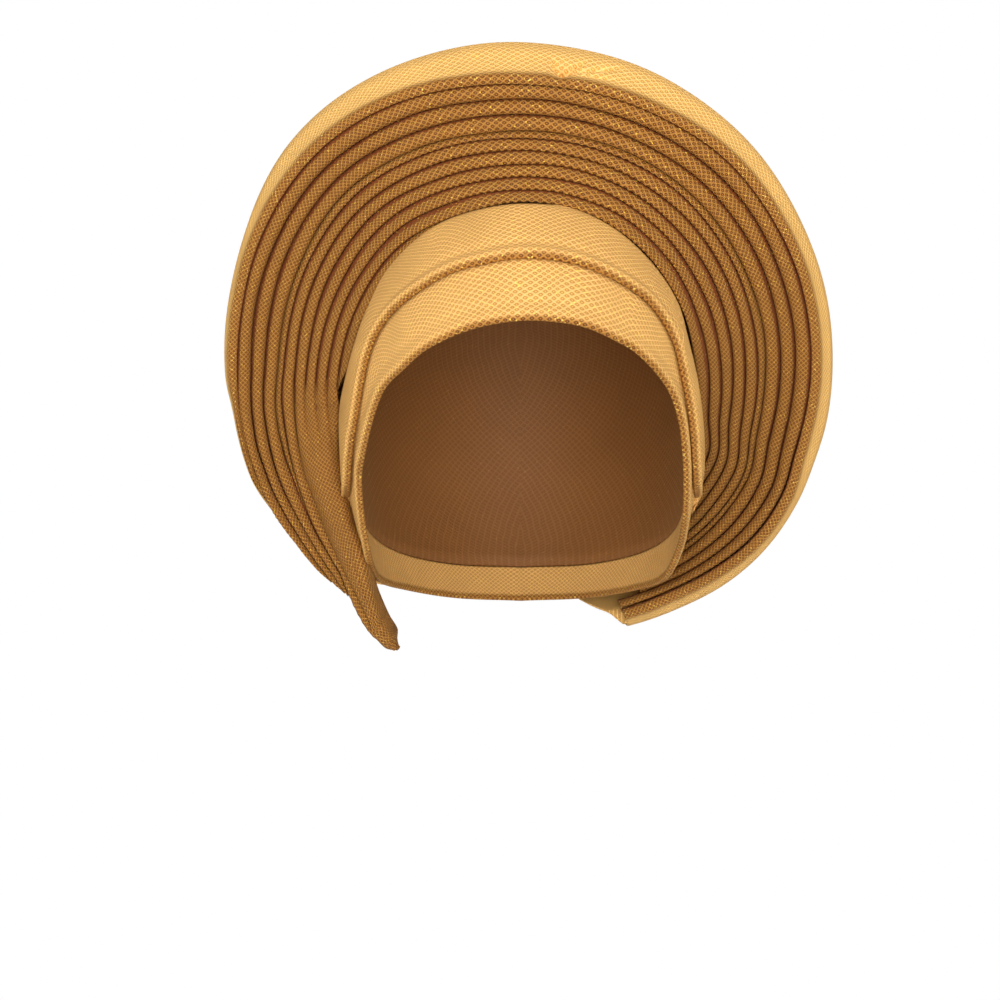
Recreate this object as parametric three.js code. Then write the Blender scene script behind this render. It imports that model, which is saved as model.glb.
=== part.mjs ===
// A pre-tied pleated turban: a fan of rope-like folds standing round the head, two smooth
// bands over the forehead, and one cloth that rolls over the rim and covers the back.
// Millimetres, +Z up, the face opening looks along -Y. The origin is where the top of the
// head touches the inside of the crown.
import * as THREE from "three";

// Driving dimensions: the head hollow
const headHalfWidth = 74;
const headHalfDepth = 93;
const crownRise = 101; // from the head's centre up to the seat of the crown
const napeDrop = 112; // half height of the lower half of the hollow

// Driving dimensions: the fan of folds
const fanRadius = 127;
const fanRise = 36; // the fan's centre over the head's centre
const fanShift = 3.2; // and to the side
const foldDepth = 13; // how far each fold reaches back from its crown
const foldCrown = 1.9; // how far the rounded crown stands forward of the fold's sides
const fanDish = 7; // how far the middle of the fan lies behind its two edges

// Driving dimensions: the cloth
const clothWall = 1.4;
const pinchShare = 0.36; // a fold's wall is at most this share of its width where it is pinched
const bandWall = 2.4; // the bands are doubled cloth
const crownWall = 2;
const rimFoldWidth = 5.6;
const tailWall = 2.2;
const tailDepth = 15;

// Clearances
const foldGap = 0.3; // between neighbouring folds
const layerGap = 0.6; // between cloths that lie on each other round the head
const drapeEase = 1.5; // how loosely the drape's hems lie over the lower band

// The fan ring. turn is degrees clockwise from the top, seen from the front; outline, rim and
// inner are shares of fanRadius; rimBack and innerBack are shares of headHalfDepth behind the
// head's centre; lean is how far the folds flare outward for each mm that they go back.
const ringRows = [
  { turn: -143, outline: 1.046, rim: 1.02, inner: 0.9, rimBack: -0.02, innerBack: -0.16, lean: 0.05 },
  { turn: -130, outline: 1.045, rim: 1.008, inner: 0.785, rimBack: -0.04, innerBack: -0.16, lean: 0.08 },
  { turn: -120, outline: 1.052, rim: 1.005, inner: 0.726, rimBack: -0.06, innerBack: -0.16, lean: 0.12 },
  { turn: -110, outline: 1.048, rim: 0.997, inner: 0.686, rimBack: -0.1, innerBack: -0.18, lean: 0.18 },
  { turn: -100, outline: 1.037, rim: 0.985, inner: 0.646, rimBack: -0.13, innerBack: -0.19, lean: 0.28 },
  { turn: -90, outline: 1.03, rim: 0.968, inner: 0.612, rimBack: -0.16, innerBack: -0.21, lean: 0.38 },
  { turn: -70, outline: 1.025, rim: 0.955, inner: 0.559, rimBack: -0.24, innerBack: -0.3, lean: 0.42 },
  { turn: -50, outline: 1.05, rim: 0.936, inner: 0.515, rimBack: -0.33, innerBack: -0.39, lean: 0.5 },
  { turn: -30, outline: 1.034, rim: 0.889, inner: 0.465, rimBack: -0.41, innerBack: -0.45, lean: 0.5 },
  { turn: -10, outline: 1.01, rim: 0.842, inner: 0.443, rimBack: -0.45, innerBack: -0.48, lean: 0.5 },
  { turn: 10, outline: 0.994, rim: 0.829, inner: 0.441, rimBack: -0.45, innerBack: -0.48, lean: 0.5 },
  { turn: 30, outline: 0.994, rim: 0.842, inner: 0.457, rimBack: -0.42, innerBack: -0.46, lean: 0.5 },
  { turn: 50, outline: 0.996, rim: 0.876, inner: 0.475, rimBack: -0.35, innerBack: -0.41, lean: 0.48 },
  { turn: 70, outline: 1.002, rim: 0.905, inner: 0.505, rimBack: -0.27, innerBack: -0.33, lean: 0.42 },
  { turn: 90, outline: 1.026, rim: 0.933, inner: 0.548, rimBack: -0.17, innerBack: -0.24, lean: 0.38 },
  { turn: 104, outline: 1.043, rim: 0.947, inner: 0.588, rimBack: -0.1, innerBack: -0.11, lean: 0.28 },
  { turn: 112, outline: 1.05, rim: 0.961, inner: 0.618, rimBack: -0.04, innerBack: -0.03, lean: 0.2 },
  { turn: 120, outline: 1.062, rim: 0.99, inner: 0.668, rimBack: 0.03, innerBack: 0.06, lean: 0.14 },
  { turn: 130, outline: 1.068, rim: 1.0, inner: 0.69, rimBack: 0.14, innerBack: 0.19, lean: 0.1 },
  { turn: 140, outline: 1.063, rim: 0.988, inner: 0.715, rimBack: 0.27, innerBack: 0.32, lean: 0.08 },
  { turn: 150, outline: 1.046, rim: 0.97, inner: 0.735, rimBack: 0.41, innerBack: 0.45, lean: 0.05 },
  { turn: 160, outline: 1.03, rim: 0.958, inner: 0.75, rimBack: 0.53, innerBack: 0.56, lean: 0.02 },
];

// Every piece of the fan is lofted through the same stations, so neighbours stay parallel.
const fanStart = -134;
const fineStart = 109; // from here to the end the stations lie closer
const fanEnd = 160;
const broadSteps = 22;
const fineSteps = 10;

// The folds. from and to are shares of the way from the inner edge to the rim; first and last
// are stations; tuck is how far the fold's crown lies behind its neighbours', in foldCrowns.
const foldRows = [
  { name: "pleat_02", from: 0.875, to: 1, first: 0, last: 32, tuck: 0 },
  { name: "pleat_03", from: 0.75, to: 0.875, first: 0, last: 31, tuck: 0 },
  { name: "pleat_04", from: 0.62, to: 0.75, first: 0, last: 30, tuck: 0 },
  { name: "pleat_05", from: 0.555, to: 0.62, first: 0, last: 29, tuck: 1 },
  { name: "pleat_06", from: 0.455, to: 0.555, first: 0, last: 28, tuck: 0 },
  { name: "pleat_07", from: 0.34, to: 0.455, first: 2, last: 27, tuck: 0 },
  { name: "pleat_08", from: 0.23, to: 0.34, first: 2, last: 26, tuck: 0 },
  { name: "pleat_09", from: 0.115, to: 0.23, first: 2, last: 25, tuck: 0 },
  { name: "pleat_10", from: 0, to: 0.115, first: 3, last: 24, tuck: 0 },
  { name: "pleat_11", from: -0.07, to: 0, first: 3, last: 8, tuck: 1 },
];

// The lower band, a whole loop round the head. turn is degrees from the front towards +X and
// edge and top are its lower and upper edges, in degrees over the head's widest level.
const loopRows = [
  { turn: -180, edge: -42, top: -33 },
  { turn: -150, edge: -41, top: -32 },
  { turn: -120, edge: -38, top: -28 },
  { turn: -95, edge: -35, top: -22 },
  { turn: -80, edge: -32, top: -14 },
  { turn: -70, edge: -26, top: -5 },
  { turn: -63, edge: -13, top: 5 },
  { turn: -56, edge: -3, top: 18 },
  { turn: -48, edge: 8, top: 30 },
  { turn: -36, edge: 15, top: 38 },
  { turn: -20, edge: 20.5, top: 44 },
  { turn: 0, edge: 24, top: 46 },
  { turn: 20, edge: 22.5, top: 44.5 },
  { turn: 36, edge: 17.5, top: 40 },
  { turn: 48, edge: 10, top: 33 },
  { turn: 56, edge: 0, top: 20 },
  { turn: 63, edge: -13, top: 5 },
  { turn: 70, edge: -23, top: -5 },
  { turn: 80, edge: -31, top: -14 },
  { turn: 95, edge: -35, top: -22 },
  { turn: 120, edge: -38, top: -28 },
  { turn: 150, edge: -41, top: -32 },
  { turn: 180, edge: -42, top: -33 },
];

const loopSteps = 60; // the crown follows the same steps

// The upper band, from its left tip to its right tip: its folded lower edge and its top edge,
// each as degrees round from the front and degrees over the head's widest level.
const lapRows = [
  { at: 0, foldTurn: -77, foldRise: -19, topTurn: -81, topRise: -15 },
  { at: 0.08, foldTurn: -73, foldRise: -14, topTurn: -80, topRise: -10 },
  { at: 0.18, foldTurn: -67, foldRise: -8, topTurn: -78, topRise: -2 },
  { at: 0.28, foldTurn: -58, foldRise: 6, topTurn: -74, topRise: 12 },
  { at: 0.36, foldTurn: -49, foldRise: 22, topTurn: -66, topRise: 29 },
  { at: 0.43, foldTurn: -27, foldRise: 34, topTurn: -44, topRise: 52 },
  { at: 0.5, foldTurn: 0, foldRise: 39.5, topTurn: 0, topRise: 59 },
  { at: 0.57, foldTurn: 26, foldRise: 37, topTurn: 42, topRise: 55.5 },
  { at: 0.64, foldTurn: 46, foldRise: 27.5, topTurn: 66, topRise: 43 },
  { at: 0.72, foldTurn: 56, foldRise: 12, topTurn: 68, topRise: 24 },
  { at: 0.82, foldTurn: 62, foldRise: -3, topTurn: 71, topRise: 2 },
  { at: 0.92, foldTurn: 76, foldRise: -18, topTurn: 84, topRise: -15 },
  { at: 1, foldTurn: 88, foldRise: -27, topTurn: 93, topRise: -25 },
];

// The swath on the left, where the inner folds merge, at its stations: its inner edge as a
// share of fanRadius. Its outer edge follows the fold beside it.
const swathRows = [
  { station: 0, inner: 0.852 },
  { station: 1, inner: 0.78 },
  { station: 2, inner: 0.7 },
];
const swathInset = 0.8; // how far below the inner folds' ends the swath stops, in degrees

// The tail: its inner and outer edges as shares of fanRadius, and the place of its crown as a
// share of headHalfDepth behind the head's centre.
const tailRows = [
  { turn: -156, inner: 1.075, outer: 1.125, back: -0.22 },
  { turn: -153.5, inner: 1.02, outer: 1.122, back: -0.25 },
  { turn: -150, inner: 0.968, outer: 1.1, back: -0.26 },
  { turn: -147, inner: 0.937, outer: 1.075, back: -0.25 },
  { turn: -143.5, inner: 0.91, outer: 1.044, back: -0.22 },
  { turn: -139.5, inner: 0.89, outer: 1.041, back: -0.18 },
  { turn: -134.4, inner: 0.856, outer: 1.035, back: -0.14 },
];
const swathShare = 0.455; // the swath's outer edge inside the fan

// The back of the drape: all its lines run together at the tuck at the nape.
const napeTurn = 178;
const napeRise = -31;
const drapeRings = 6;
const drapeFullness = 1.25; // above 1 the drape stays full further back
const hemEasing = 0.65; // below 1 it closes on the head sooner, as it does along its hems
const hemReach = 26; // degrees of turn over which the drape closes on the head at its hems

const clothColour = 0xdba75c;
const bandColour = 0xe6b766;
const shadeColour = 0xb98545;

function cloth(name, geometry, color) {
  const material = new THREE.MeshStandardMaterial({ color, roughness: 0.72, metalness: 0 });
  const mesh = new THREE.Mesh(geometry, material);
  mesh.name = name;
  return mesh;
}

// A smooth value between the rows of a table, by cubic steps whose slopes come from the
// neighbouring rows.
function between(rows, key, column, at) {
  const last = rows.length - 1;
  let i = 0;
  while (i < last - 1 && at > rows[i + 1][key]) i += 1;
  const slope = (k) => {
    const a = rows[Math.max(k - 1, 0)];
    const b = rows[Math.min(k + 1, last)];
    return (b[column] - a[column]) / (b[key] - a[key]);
  };
  const span = rows[i + 1][key] - rows[i][key];
  const t = THREE.MathUtils.clamp((at - rows[i][key]) / span, 0, 1);
  const t2 = t * t;
  const t3 = t2 * t;
  return (
    (2 * t3 - 3 * t2 + 1) * rows[i][column] +
    (t3 - 2 * t2 + t) * span * slope(i) +
    (3 * t2 - 2 * t3) * rows[i + 1][column] +
    (t3 - t2) * span * slope(i + 1)
  );
}

const radians = THREE.MathUtils.degToRad;

// A point on the head hollow, lifted off it by a thickness.
function onHead(turn, rise, lift) {
  const around = radians(turn);
  const up = radians(rise);
  const tall = (rise > 0 ? crownRise : napeDrop) + lift;
  return new THREE.Vector3(
    (headHalfWidth + lift) * Math.sin(around) * Math.cos(up),
    -(headHalfDepth + lift) * Math.cos(around) * Math.cos(up),
    tall * Math.sin(up)
  );
}

// How far the lifted head surface lies from the head's centre along a direction.
function headReach(direction, lift) {
  const tall = (direction.z > 0 ? crownRise : napeDrop) + lift;
  const x = direction.x / (headHalfWidth + lift);
  const y = direction.y / (headHalfDepth + lift);
  const z = direction.z / tall;
  return 1 / Math.sqrt(x * x + y * y + z * z);
}

function ringAt(turn) {
  const value = (column) => between(ringRows, "turn", column, turn);
  return {
    turn,
    outline: fanRadius * value("outline"),
    rim: fanRadius * value("rim"),
    inner: fanRadius * value("inner"),
    rimBack: headHalfDepth * value("rimBack"),
    innerBack: headHalfDepth * value("innerBack"),
    lean: value("lean"),
  };
}

// A point of the fan: radius from the fan's centre, the place of the fan's face there, and
// how far behind it, along the line on which the folds flare back.
function inFan(ring, radius, face, behind) {
  const around = radians(ring.turn);
  const reach = 1 / Math.hypot(1, ring.lean);
  const out = radius + behind * ring.lean * reach;
  return new THREE.Vector3(
    fanShift + out * Math.sin(around),
    face + behind * reach,
    fanRise + out * Math.cos(around)
  );
}

function faceOfFan(ring, share) {
  const dish = fanDish * 4 * share * (1 - share);
  return THREE.MathUtils.lerp(ring.innerBack, ring.rimBack, share) + dish;
}

const fanTurns = Array.from({ length: broadSteps + fineSteps + 1 }, (_, i) =>
  i < broadSteps
    ? THREE.MathUtils.lerp(fanStart, fineStart, i / broadSteps)
    : THREE.MathUtils.lerp(fineStart, fanEnd, (i - broadSteps) / fineSteps)
);

// Thickens a sheet of points inwards by a wall. Each row runs across the cloth and the rows
// follow its length, so that across x along points into the cloth. A loop joins its last row
// to its first.
function thicken(rows, wall, loop = false) {
  const count = rows.length;
  const width = rows[0].length;
  const pick = (i, j) => rows[loop ? (i + count) % count : THREE.MathUtils.clamp(i, 0, count - 1)][j];
  const inner = rows.map((row, i) =>
    row.map((point, j) => {
      const across = new THREE.Vector3().subVectors(
        row[Math.min(j + 1, width - 1)],
        row[Math.max(j - 1, 0)]
      );
      const along = new THREE.Vector3().subVectors(pick(i + 1, j), pick(i - 1, j));
      const normal = across.cross(along);
      if (normal.lengthSq() < 1e-6) return null;
      return point.clone().addScaledVector(normal.normalize(), wall);
    })
  );
  return { outer: rows, inner };
}

// Joins sections, each a closed ring of points, into one body with its faces pointing out.
// Points that coincide become one, and triangles without area are dropped. Each quad is split
// along the same line on its outer and its inner face, and in mirror image on the two sides of
// a fold, so that walls keep their thickness and neighbours their gap.
function loft(sections, loop = false) {
  const points = [];
  const known = new Map();
  const index = (p) => {
    const key = [p.x, p.y, p.z].map((v) => Math.round(v * 1e4)).join(" ");
    if (!known.has(key)) {
      known.set(key, points.length);
      points.push(p);
    }
    return known.get(key);
  };
  const rings = sections.map((section) => section.map(index));
  const triangles = [];
  const face = (a, b, c) => {
    if (a !== b && b !== c && c !== a) triangles.push([a, b, c]);
  };
  const size = rings[0].length;
  const half = size / 2;
  const spans = loop ? rings.length : rings.length - 1;
  for (let i = 0; i < spans; i += 1) {
    const here = rings[i];
    const next = rings[(i + 1) % rings.length];
    for (let j = 0; j < size; j += 1) {
      const k = (j + 1) % size;
      const span = j < half ? j : size - 2 - j;
      const falling = span >= (half - 1) / 2;
      if (falling === j < half) {
        face(here[j], here[k], next[j]);
        face(here[k], next[k], next[j]);
      } else {
        face(here[j], here[k], next[k]);
        face(here[j], next[k], next[j]);
      }
    }
  }
  if (!loop) {
    closeEnd(sections[0], rings[0], face, false);
    closeEnd(sections[sections.length - 1], rings[rings.length - 1], face, true);
  }
  let volume = 0;
  for (const [a, b, c] of triangles) {
    volume += points[a].dot(new THREE.Vector3().crossVectors(points[b], points[c]));
  }
  const ordered = volume < 0 ? triangles.map(([a, b, c]) => [a, c, b]) : triangles;
  const geometry = new THREE.BufferGeometry();
  const positions = points.flatMap((p) => [p.x, p.y, p.z]);
  geometry.setAttribute("position", new THREE.Float32BufferAttribute(positions, 3));
  geometry.setIndex(ordered.flat());
  geometry.computeVertexNormals();
  return geometry;
}

// Closes a cloth's end: its section is a strip of outer points and the same strip of inner
// points backwards, so the end is the row of quads between them.
function closeEnd(section, ring, face, far) {
  const half = section.length / 2;
  for (let j = 0; j < half - 1; j += 1) {
    const quad = [ring[j], ring[j + 1], ring[section.length - 2 - j], ring[section.length - 1 - j]];
    if (far) {
      face(quad[0], quad[1], quad[2]);
      face(quad[0], quad[2], quad[3]);
    } else {
      face(quad[0], quad[2], quad[1]);
      face(quad[0], quad[3], quad[2]);
    }
  }
}

function clothBody(rows, wall, loop = false) {
  const sheet = thicken(rows, wall, loop);
  const sections = sheet.outer.map((row, i) => [...row, ...[...sheet.inner[i]].reverse()]);
  return loft(sections, loop);
}

// One fold: a rounded crown with two sides that run back, open behind. Its inner face follows
// the same profile, set in from both sides, so that it never crosses itself where it is narrow.
function foldGeometry({ from, to, first, last, tuck }) {
  const sections = fanTurns.slice(first, last + 1).map((turn) => {
    const ring = ringAt(turn);
    const span = ring.rim - ring.inner;
    const low = ring.inner + from * span + foldGap / 2;
    const high = ring.inner + to * span - foldGap / 2;
    const width = high - low;
    const wall = Math.min(clothWall, pinchShare * width);
    const inset = wall / width;
    const faceLow = faceOfFan(ring, from);
    const faceHigh = faceOfFan(ring, to);
    const crown = Math.min(foldCrown, width / 2);
    const back = tuck * foldCrown;
    const profile = [
      { side: 0, behind: foldDepth },
      { side: 0, behind: crown + back },
      { side: 0.25, behind: crown * 0.2 + back },
      { side: 0.75, behind: crown * 0.2 + back },
      { side: 1, behind: crown + back },
      { side: 1, behind: foldDepth },
    ];
    const place = (side, behind) =>
      inFan(ring, low + side * width, THREE.MathUtils.lerp(faceLow, faceHigh, side), behind);
    const outer = profile.map(({ side, behind }) => place(side, behind));
    const inner = profile.map(({ side, behind }) =>
      place(inset + side * (1 - 2 * inset), Math.min(behind + wall, foldDepth))
    );
    return [...outer, ...inner.reverse()];
  });
  return loft(sections);
}

// The lower band, lying on the head, all the way round.
function lowerBandGeometry() {
  const steps = loopSteps;
  const across = 5;
  const rows = Array.from({ length: steps }, (_, i) => {
    const turn = -180 + (360 * i) / steps;
    const edge = between(loopRows, "turn", "edge", turn);
    const top = between(loopRows, "turn", "top", turn);
    return Array.from({ length: across }, (__, j) =>
      onHead(turn, THREE.MathUtils.lerp(edge, top, j / (across - 1)), bandWall)
    );
  });
  return clothBody(rows, bandWall, true);
}

// The upper band, lapped over the lower one and over the front of the crown.
function upperBandGeometry() {
  const steps = 34;
  const across = 6;
  const lift = bandWall + layerGap + bandWall;
  const rows = Array.from({ length: steps + 1 }, (_, i) => {
    const at = i / steps;
    const value = (column) => between(lapRows, "at", column, at);
    return Array.from({ length: across }, (__, j) => {
      const share = j / (across - 1);
      const turn = THREE.MathUtils.lerp(value("foldTurn"), value("topTurn"), share);
      const rise = THREE.MathUtils.lerp(value("foldRise"), value("topRise"), share);
      return onHead(turn, rise, lift);
    });
  });
  return clothBody(rows, bandWall);
}

// The crown: the inner wrap from the top of the lower band up to the seat.
function crownGeometry() {
  const steps = loopSteps;
  const across = 6;
  const edgeGap = THREE.MathUtils.radToDeg(layerGap / headHalfWidth);
  const rows = Array.from({ length: steps }, (_, i) => {
    const turn = -180 + (360 * i) / steps;
    const edge = between(loopRows, "turn", "top", turn) + edgeGap;
    const outer = [];
    const inner = [];
    for (let j = 0; j <= across; j += 1) {
      const rise = THREE.MathUtils.lerp(edge, 90, j / across);
      outer.push(onHead(j === across ? 0 : turn, rise, crownWall));
      inner.push(onHead(j === across ? 0 : turn, rise, 0));
    }
    return [...outer, ...inner.reverse()];
  });
  return loft(rows, true);
}

// The soft, ridged front of the swath and the tail: shares of the width, and of the depth.
const softProfile = [
  { side: 0, behind: 0.45 },
  { side: 0, behind: 0.25 },
  { side: 0.18, behind: 0.08 },
  { side: 0.45, behind: 0 },
  { side: 0.62, behind: 0.1 },
  { side: 0.8, behind: 0.06 },
  { side: 1, behind: 0.24 },
  { side: 1, behind: 1 },
];

function softRow(ring, low, high, face, depth) {
  return softProfile.map(({ side, behind }) =>
    inFan(ring, THREE.MathUtils.lerp(low, high, side), face, behind * depth)
  );
}

// The swath of merged inner folds on the left.
function swathGeometry() {
  const rows = swathRows.map(({ station, inner }, i) => {
    const ring = ringAt(fanTurns[station] - (i === swathRows.length - 1 ? swathInset : 0));
    const high = ring.inner + swathShare * (ring.rim - ring.inner) - foldGap / 2;
    return softRow(ring, fanRadius * inner, high, faceOfFan(ring, swathShare), tailDepth);
  });
  return clothBody(rows, tailWall);
}

// The tail, where all the folds run together and turn under at the jaw.
function tailGeometry() {
  const rows = tailRows.map((entry, i) => {
    const ring = { ...ringAt(Math.max(entry.turn, ringRows[0].turn)), turn: entry.turn };
    const depth = tailDepth * (i === 0 ? 0.6 : 1);
    const face = headHalfDepth * entry.back;
    return softRow(ring, fanRadius * entry.inner, fanRadius * entry.outer, face, depth);
  });
  return clothBody(rows, tailWall);
}

// The outermost fold and the smooth cloth that rolls over it to the back of the head.
function drapeGeometry() {
  const hemLift = bandWall + drapeEase + clothWall;
  const nape = onHead(napeTurn, napeRise, hemLift);
  const napeReach = nape.length();
  const napeDirection = nape.clone().normalize();
  const rows = fanTurns.map((turn) => {
    const ring = ringAt(turn);
    const low = ring.rim + foldGap / 2;
    const width = Math.min(rimFoldWidth, ring.outline - low - clothWall);
    const crown = Math.min(foldCrown, width / 2);
    const bulge = ring.outline - low - width;
    const profile = [
      { out: 0, behind: foldDepth },
      { out: 0, behind: crown },
      { out: width * 0.25, behind: crown * 0.2 },
      { out: width * 0.75, behind: crown * 0.2 },
      { out: width, behind: crown * 1.2 },
      { out: width + bulge * 0.75, behind: crown * 1.2 + bulge * 0.6 + 3 },
    ];
    const roll = profile.map(({ out, behind }) => {
      const flare = { ...ring, lean: out === 0 ? ring.lean : 0 };
      return inFan(flare, low + out, ring.rimBack, behind);
    });
    const widest = inFan({ ...ring, lean: 0 }, ring.outline, ring.rimBack, foldDepth + bulge / 2);
    const from = widest.clone().normalize();
    const reach = widest.length();
    const hem = Math.min(turn - fanStart, fanEnd - turn, hemReach) / hemReach;
    const easing = THREE.MathUtils.lerp(hemEasing, drapeFullness, hem);
    const swing = Math.acos(THREE.MathUtils.clamp(from.dot(napeDirection), -1, 1));
    const back = Array.from({ length: drapeRings }, (_, k) => {
      const t = (k + 1) / drapeRings;
      const a = Math.sin((1 - t) * swing) / Math.sin(swing);
      const b = Math.sin(t * swing) / Math.sin(swing);
      const direction = from.clone().multiplyScalar(a).addScaledVector(napeDirection, b).normalize();
      const eased = THREE.MathUtils.lerp(reach, napeReach, Math.pow(t, easing));
      const least = headReach(direction, hemLift);
      return direction.multiplyScalar(Math.max(eased, least));
    });
    return [...roll, widest, ...back];
  });
  const sheet = thicken(rows, clothWall);
  const innerNape = napeDirection.clone().multiplyScalar(napeReach - clothWall);
  const sections = sheet.outer.map((row, i) => {
    const inner = [...sheet.inner[i]];
    inner[inner.length - 1] = innerNape;
    return [...row, ...inner.reverse()];
  });
  return loft(sections);
}

const turban = new THREE.Group();
turban.position.z = -crownRise;
turban.add(cloth("crown_wrap", crownGeometry(), shadeColour));
turban.add(cloth("band_lower", lowerBandGeometry(), bandColour));
turban.add(cloth("band_upper", upperBandGeometry(), bandColour));
for (const row of foldRows) turban.add(cloth(row.name, foldGeometry(row), clothColour));
turban.add(cloth("swath_left", swathGeometry(), clothColour));
turban.add(cloth("tail_left", tailGeometry(), clothColour));
turban.add(cloth("outer_drape", drapeGeometry(), bandColour));

const group = new THREE.Group();
group.add(turban);

export default group;
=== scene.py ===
import bpy
import numpy as np
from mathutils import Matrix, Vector


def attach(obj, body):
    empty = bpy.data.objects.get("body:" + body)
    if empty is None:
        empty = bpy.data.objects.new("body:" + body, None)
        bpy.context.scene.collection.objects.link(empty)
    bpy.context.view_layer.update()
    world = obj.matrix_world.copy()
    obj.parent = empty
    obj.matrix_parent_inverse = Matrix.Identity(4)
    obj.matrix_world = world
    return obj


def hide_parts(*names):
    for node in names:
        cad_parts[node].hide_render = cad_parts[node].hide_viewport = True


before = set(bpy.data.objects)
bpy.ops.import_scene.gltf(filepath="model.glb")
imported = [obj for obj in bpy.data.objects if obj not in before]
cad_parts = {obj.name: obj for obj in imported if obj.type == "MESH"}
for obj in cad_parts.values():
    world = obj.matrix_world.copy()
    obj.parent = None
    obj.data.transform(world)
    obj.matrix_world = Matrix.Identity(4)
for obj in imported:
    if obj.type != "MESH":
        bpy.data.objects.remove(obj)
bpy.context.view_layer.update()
print("frame loaded:", len(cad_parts), "nodes")

mm = 0.001  # metres

# the room inside, half an egg above its widest level and half a longer one below it
hollow = {"halfWidth": 74.0, "halfDepth": 93.0, "crownRise": 101.0, "napeDrop": 112.0}

sight = {  # where the photograph was taken from
    "distance": 1200.0,  # to the plane through the hollow's centre
    "x": -9.46,
    "z": -30.1,
    "lens": 100.47,
    "sensor": 36.0,
}

fan = {
    "radius": 127.0,
    "rise": 36.0,
    "shift": 3.2,
    "dish": 7.0,  # how far the middle of the fan lies behind its two edges
    "gap": 0.4,
    "wander": 0.3,  # how far a crease strays from its line
    "wanderWaves": [(0.6, 5.3, 1.7), (0.4, 12.7, 2.9)],  # as waves() takes them
    "wanderFrom": (-141.0, -125.0),  # it strays fully from the second of these turns on
    "swell": 0.35,  # how far a crown rises and falls along its fold
    "swellWaves": [(0.6, 3.1, 2.3), (0.4, 7.7, 1.1)],
    "leftUntil": (-105.0, -95.0),  # over these turns the lower left passes into the ring
    "leftBow": 2.0,  # how far the creases there bow back between c6 and the rim
    "leftBowSpan": 0.55,
}

# turn; outline, rim and inner as shares of the radius; rimBack and innerBack as shares of the
# hollow's half depth; how far the folds flare out for each millimetre back
ringTable = np.array([
    (-143, 1.046, 1.02, 0.9, -0.02, -0.16, 0.05),
    (-130, 1.045, 1.008, 0.785, -0.04, -0.16, 0.08),
    (-120, 1.052, 1.005, 0.726, -0.06, -0.16, 0.12),
    (-110, 1.048, 0.997, 0.686, -0.1, -0.18, 0.18),
    (-100, 1.037, 0.985, 0.646, -0.13, -0.19, 0.28),
    (-90, 1.03, 0.968, 0.612, -0.16, -0.21, 0.38),
    (-70, 1.025, 0.955, 0.559, -0.24, -0.3, 0.42),
    (-50, 1.05, 0.936, 0.515, -0.33, -0.39, 0.5),
    (-30, 1.034, 0.889, 0.465, -0.41, -0.45, 0.5),
    (-10, 1.01, 0.842, 0.443, -0.45, -0.48, 0.5),
    (10, 0.994, 0.829, 0.441, -0.45, -0.48, 0.5),
    (30, 0.994, 0.842, 0.449, -0.42, -0.46, 0.5),
    (50, 0.996, 0.876, 0.462, -0.35, -0.41, 0.48),
    (70, 1.002, 0.905, 0.491, -0.27, -0.33, 0.42),
    (90, 1.026, 0.933, 0.531, -0.17, -0.24, 0.38),
    (104, 1.043, 0.947, 0.576, -0.1, -0.11, 0.28),
    (112, 1.05, 0.961, 0.61, -0.04, -0.03, 0.2),
    (120, 1.062, 0.99, 0.668, 0.03, 0.06, 0.14),
    (130, 1.068, 1.0, 0.69, 0.14, 0.19, 0.1),
    (140, 1.063, 0.988, 0.715, 0.27, 0.32, 0.08),
    (150, 1.046, 0.97, 0.735, 0.41, 0.45, 0.05),
    (160, 1.03, 0.958, 0.75, 0.53, 0.56, 0.02),
], float)
ringNames = ["outline", "rim", "inner", "rimBack", "innerBack", "lean"]

# the creases, as shares of the way from the fan's inner edge to its rim
creaseShares = {
    "c11": -0.115, "c10": 0.0, "c9": 0.115, "c8": 0.23, "c7": 0.34, "c6": 0.455,
    "c5": 0.555, "c4": 0.62, "c3": 0.75, "c2": 0.875, "c1": 1.0,
}

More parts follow.
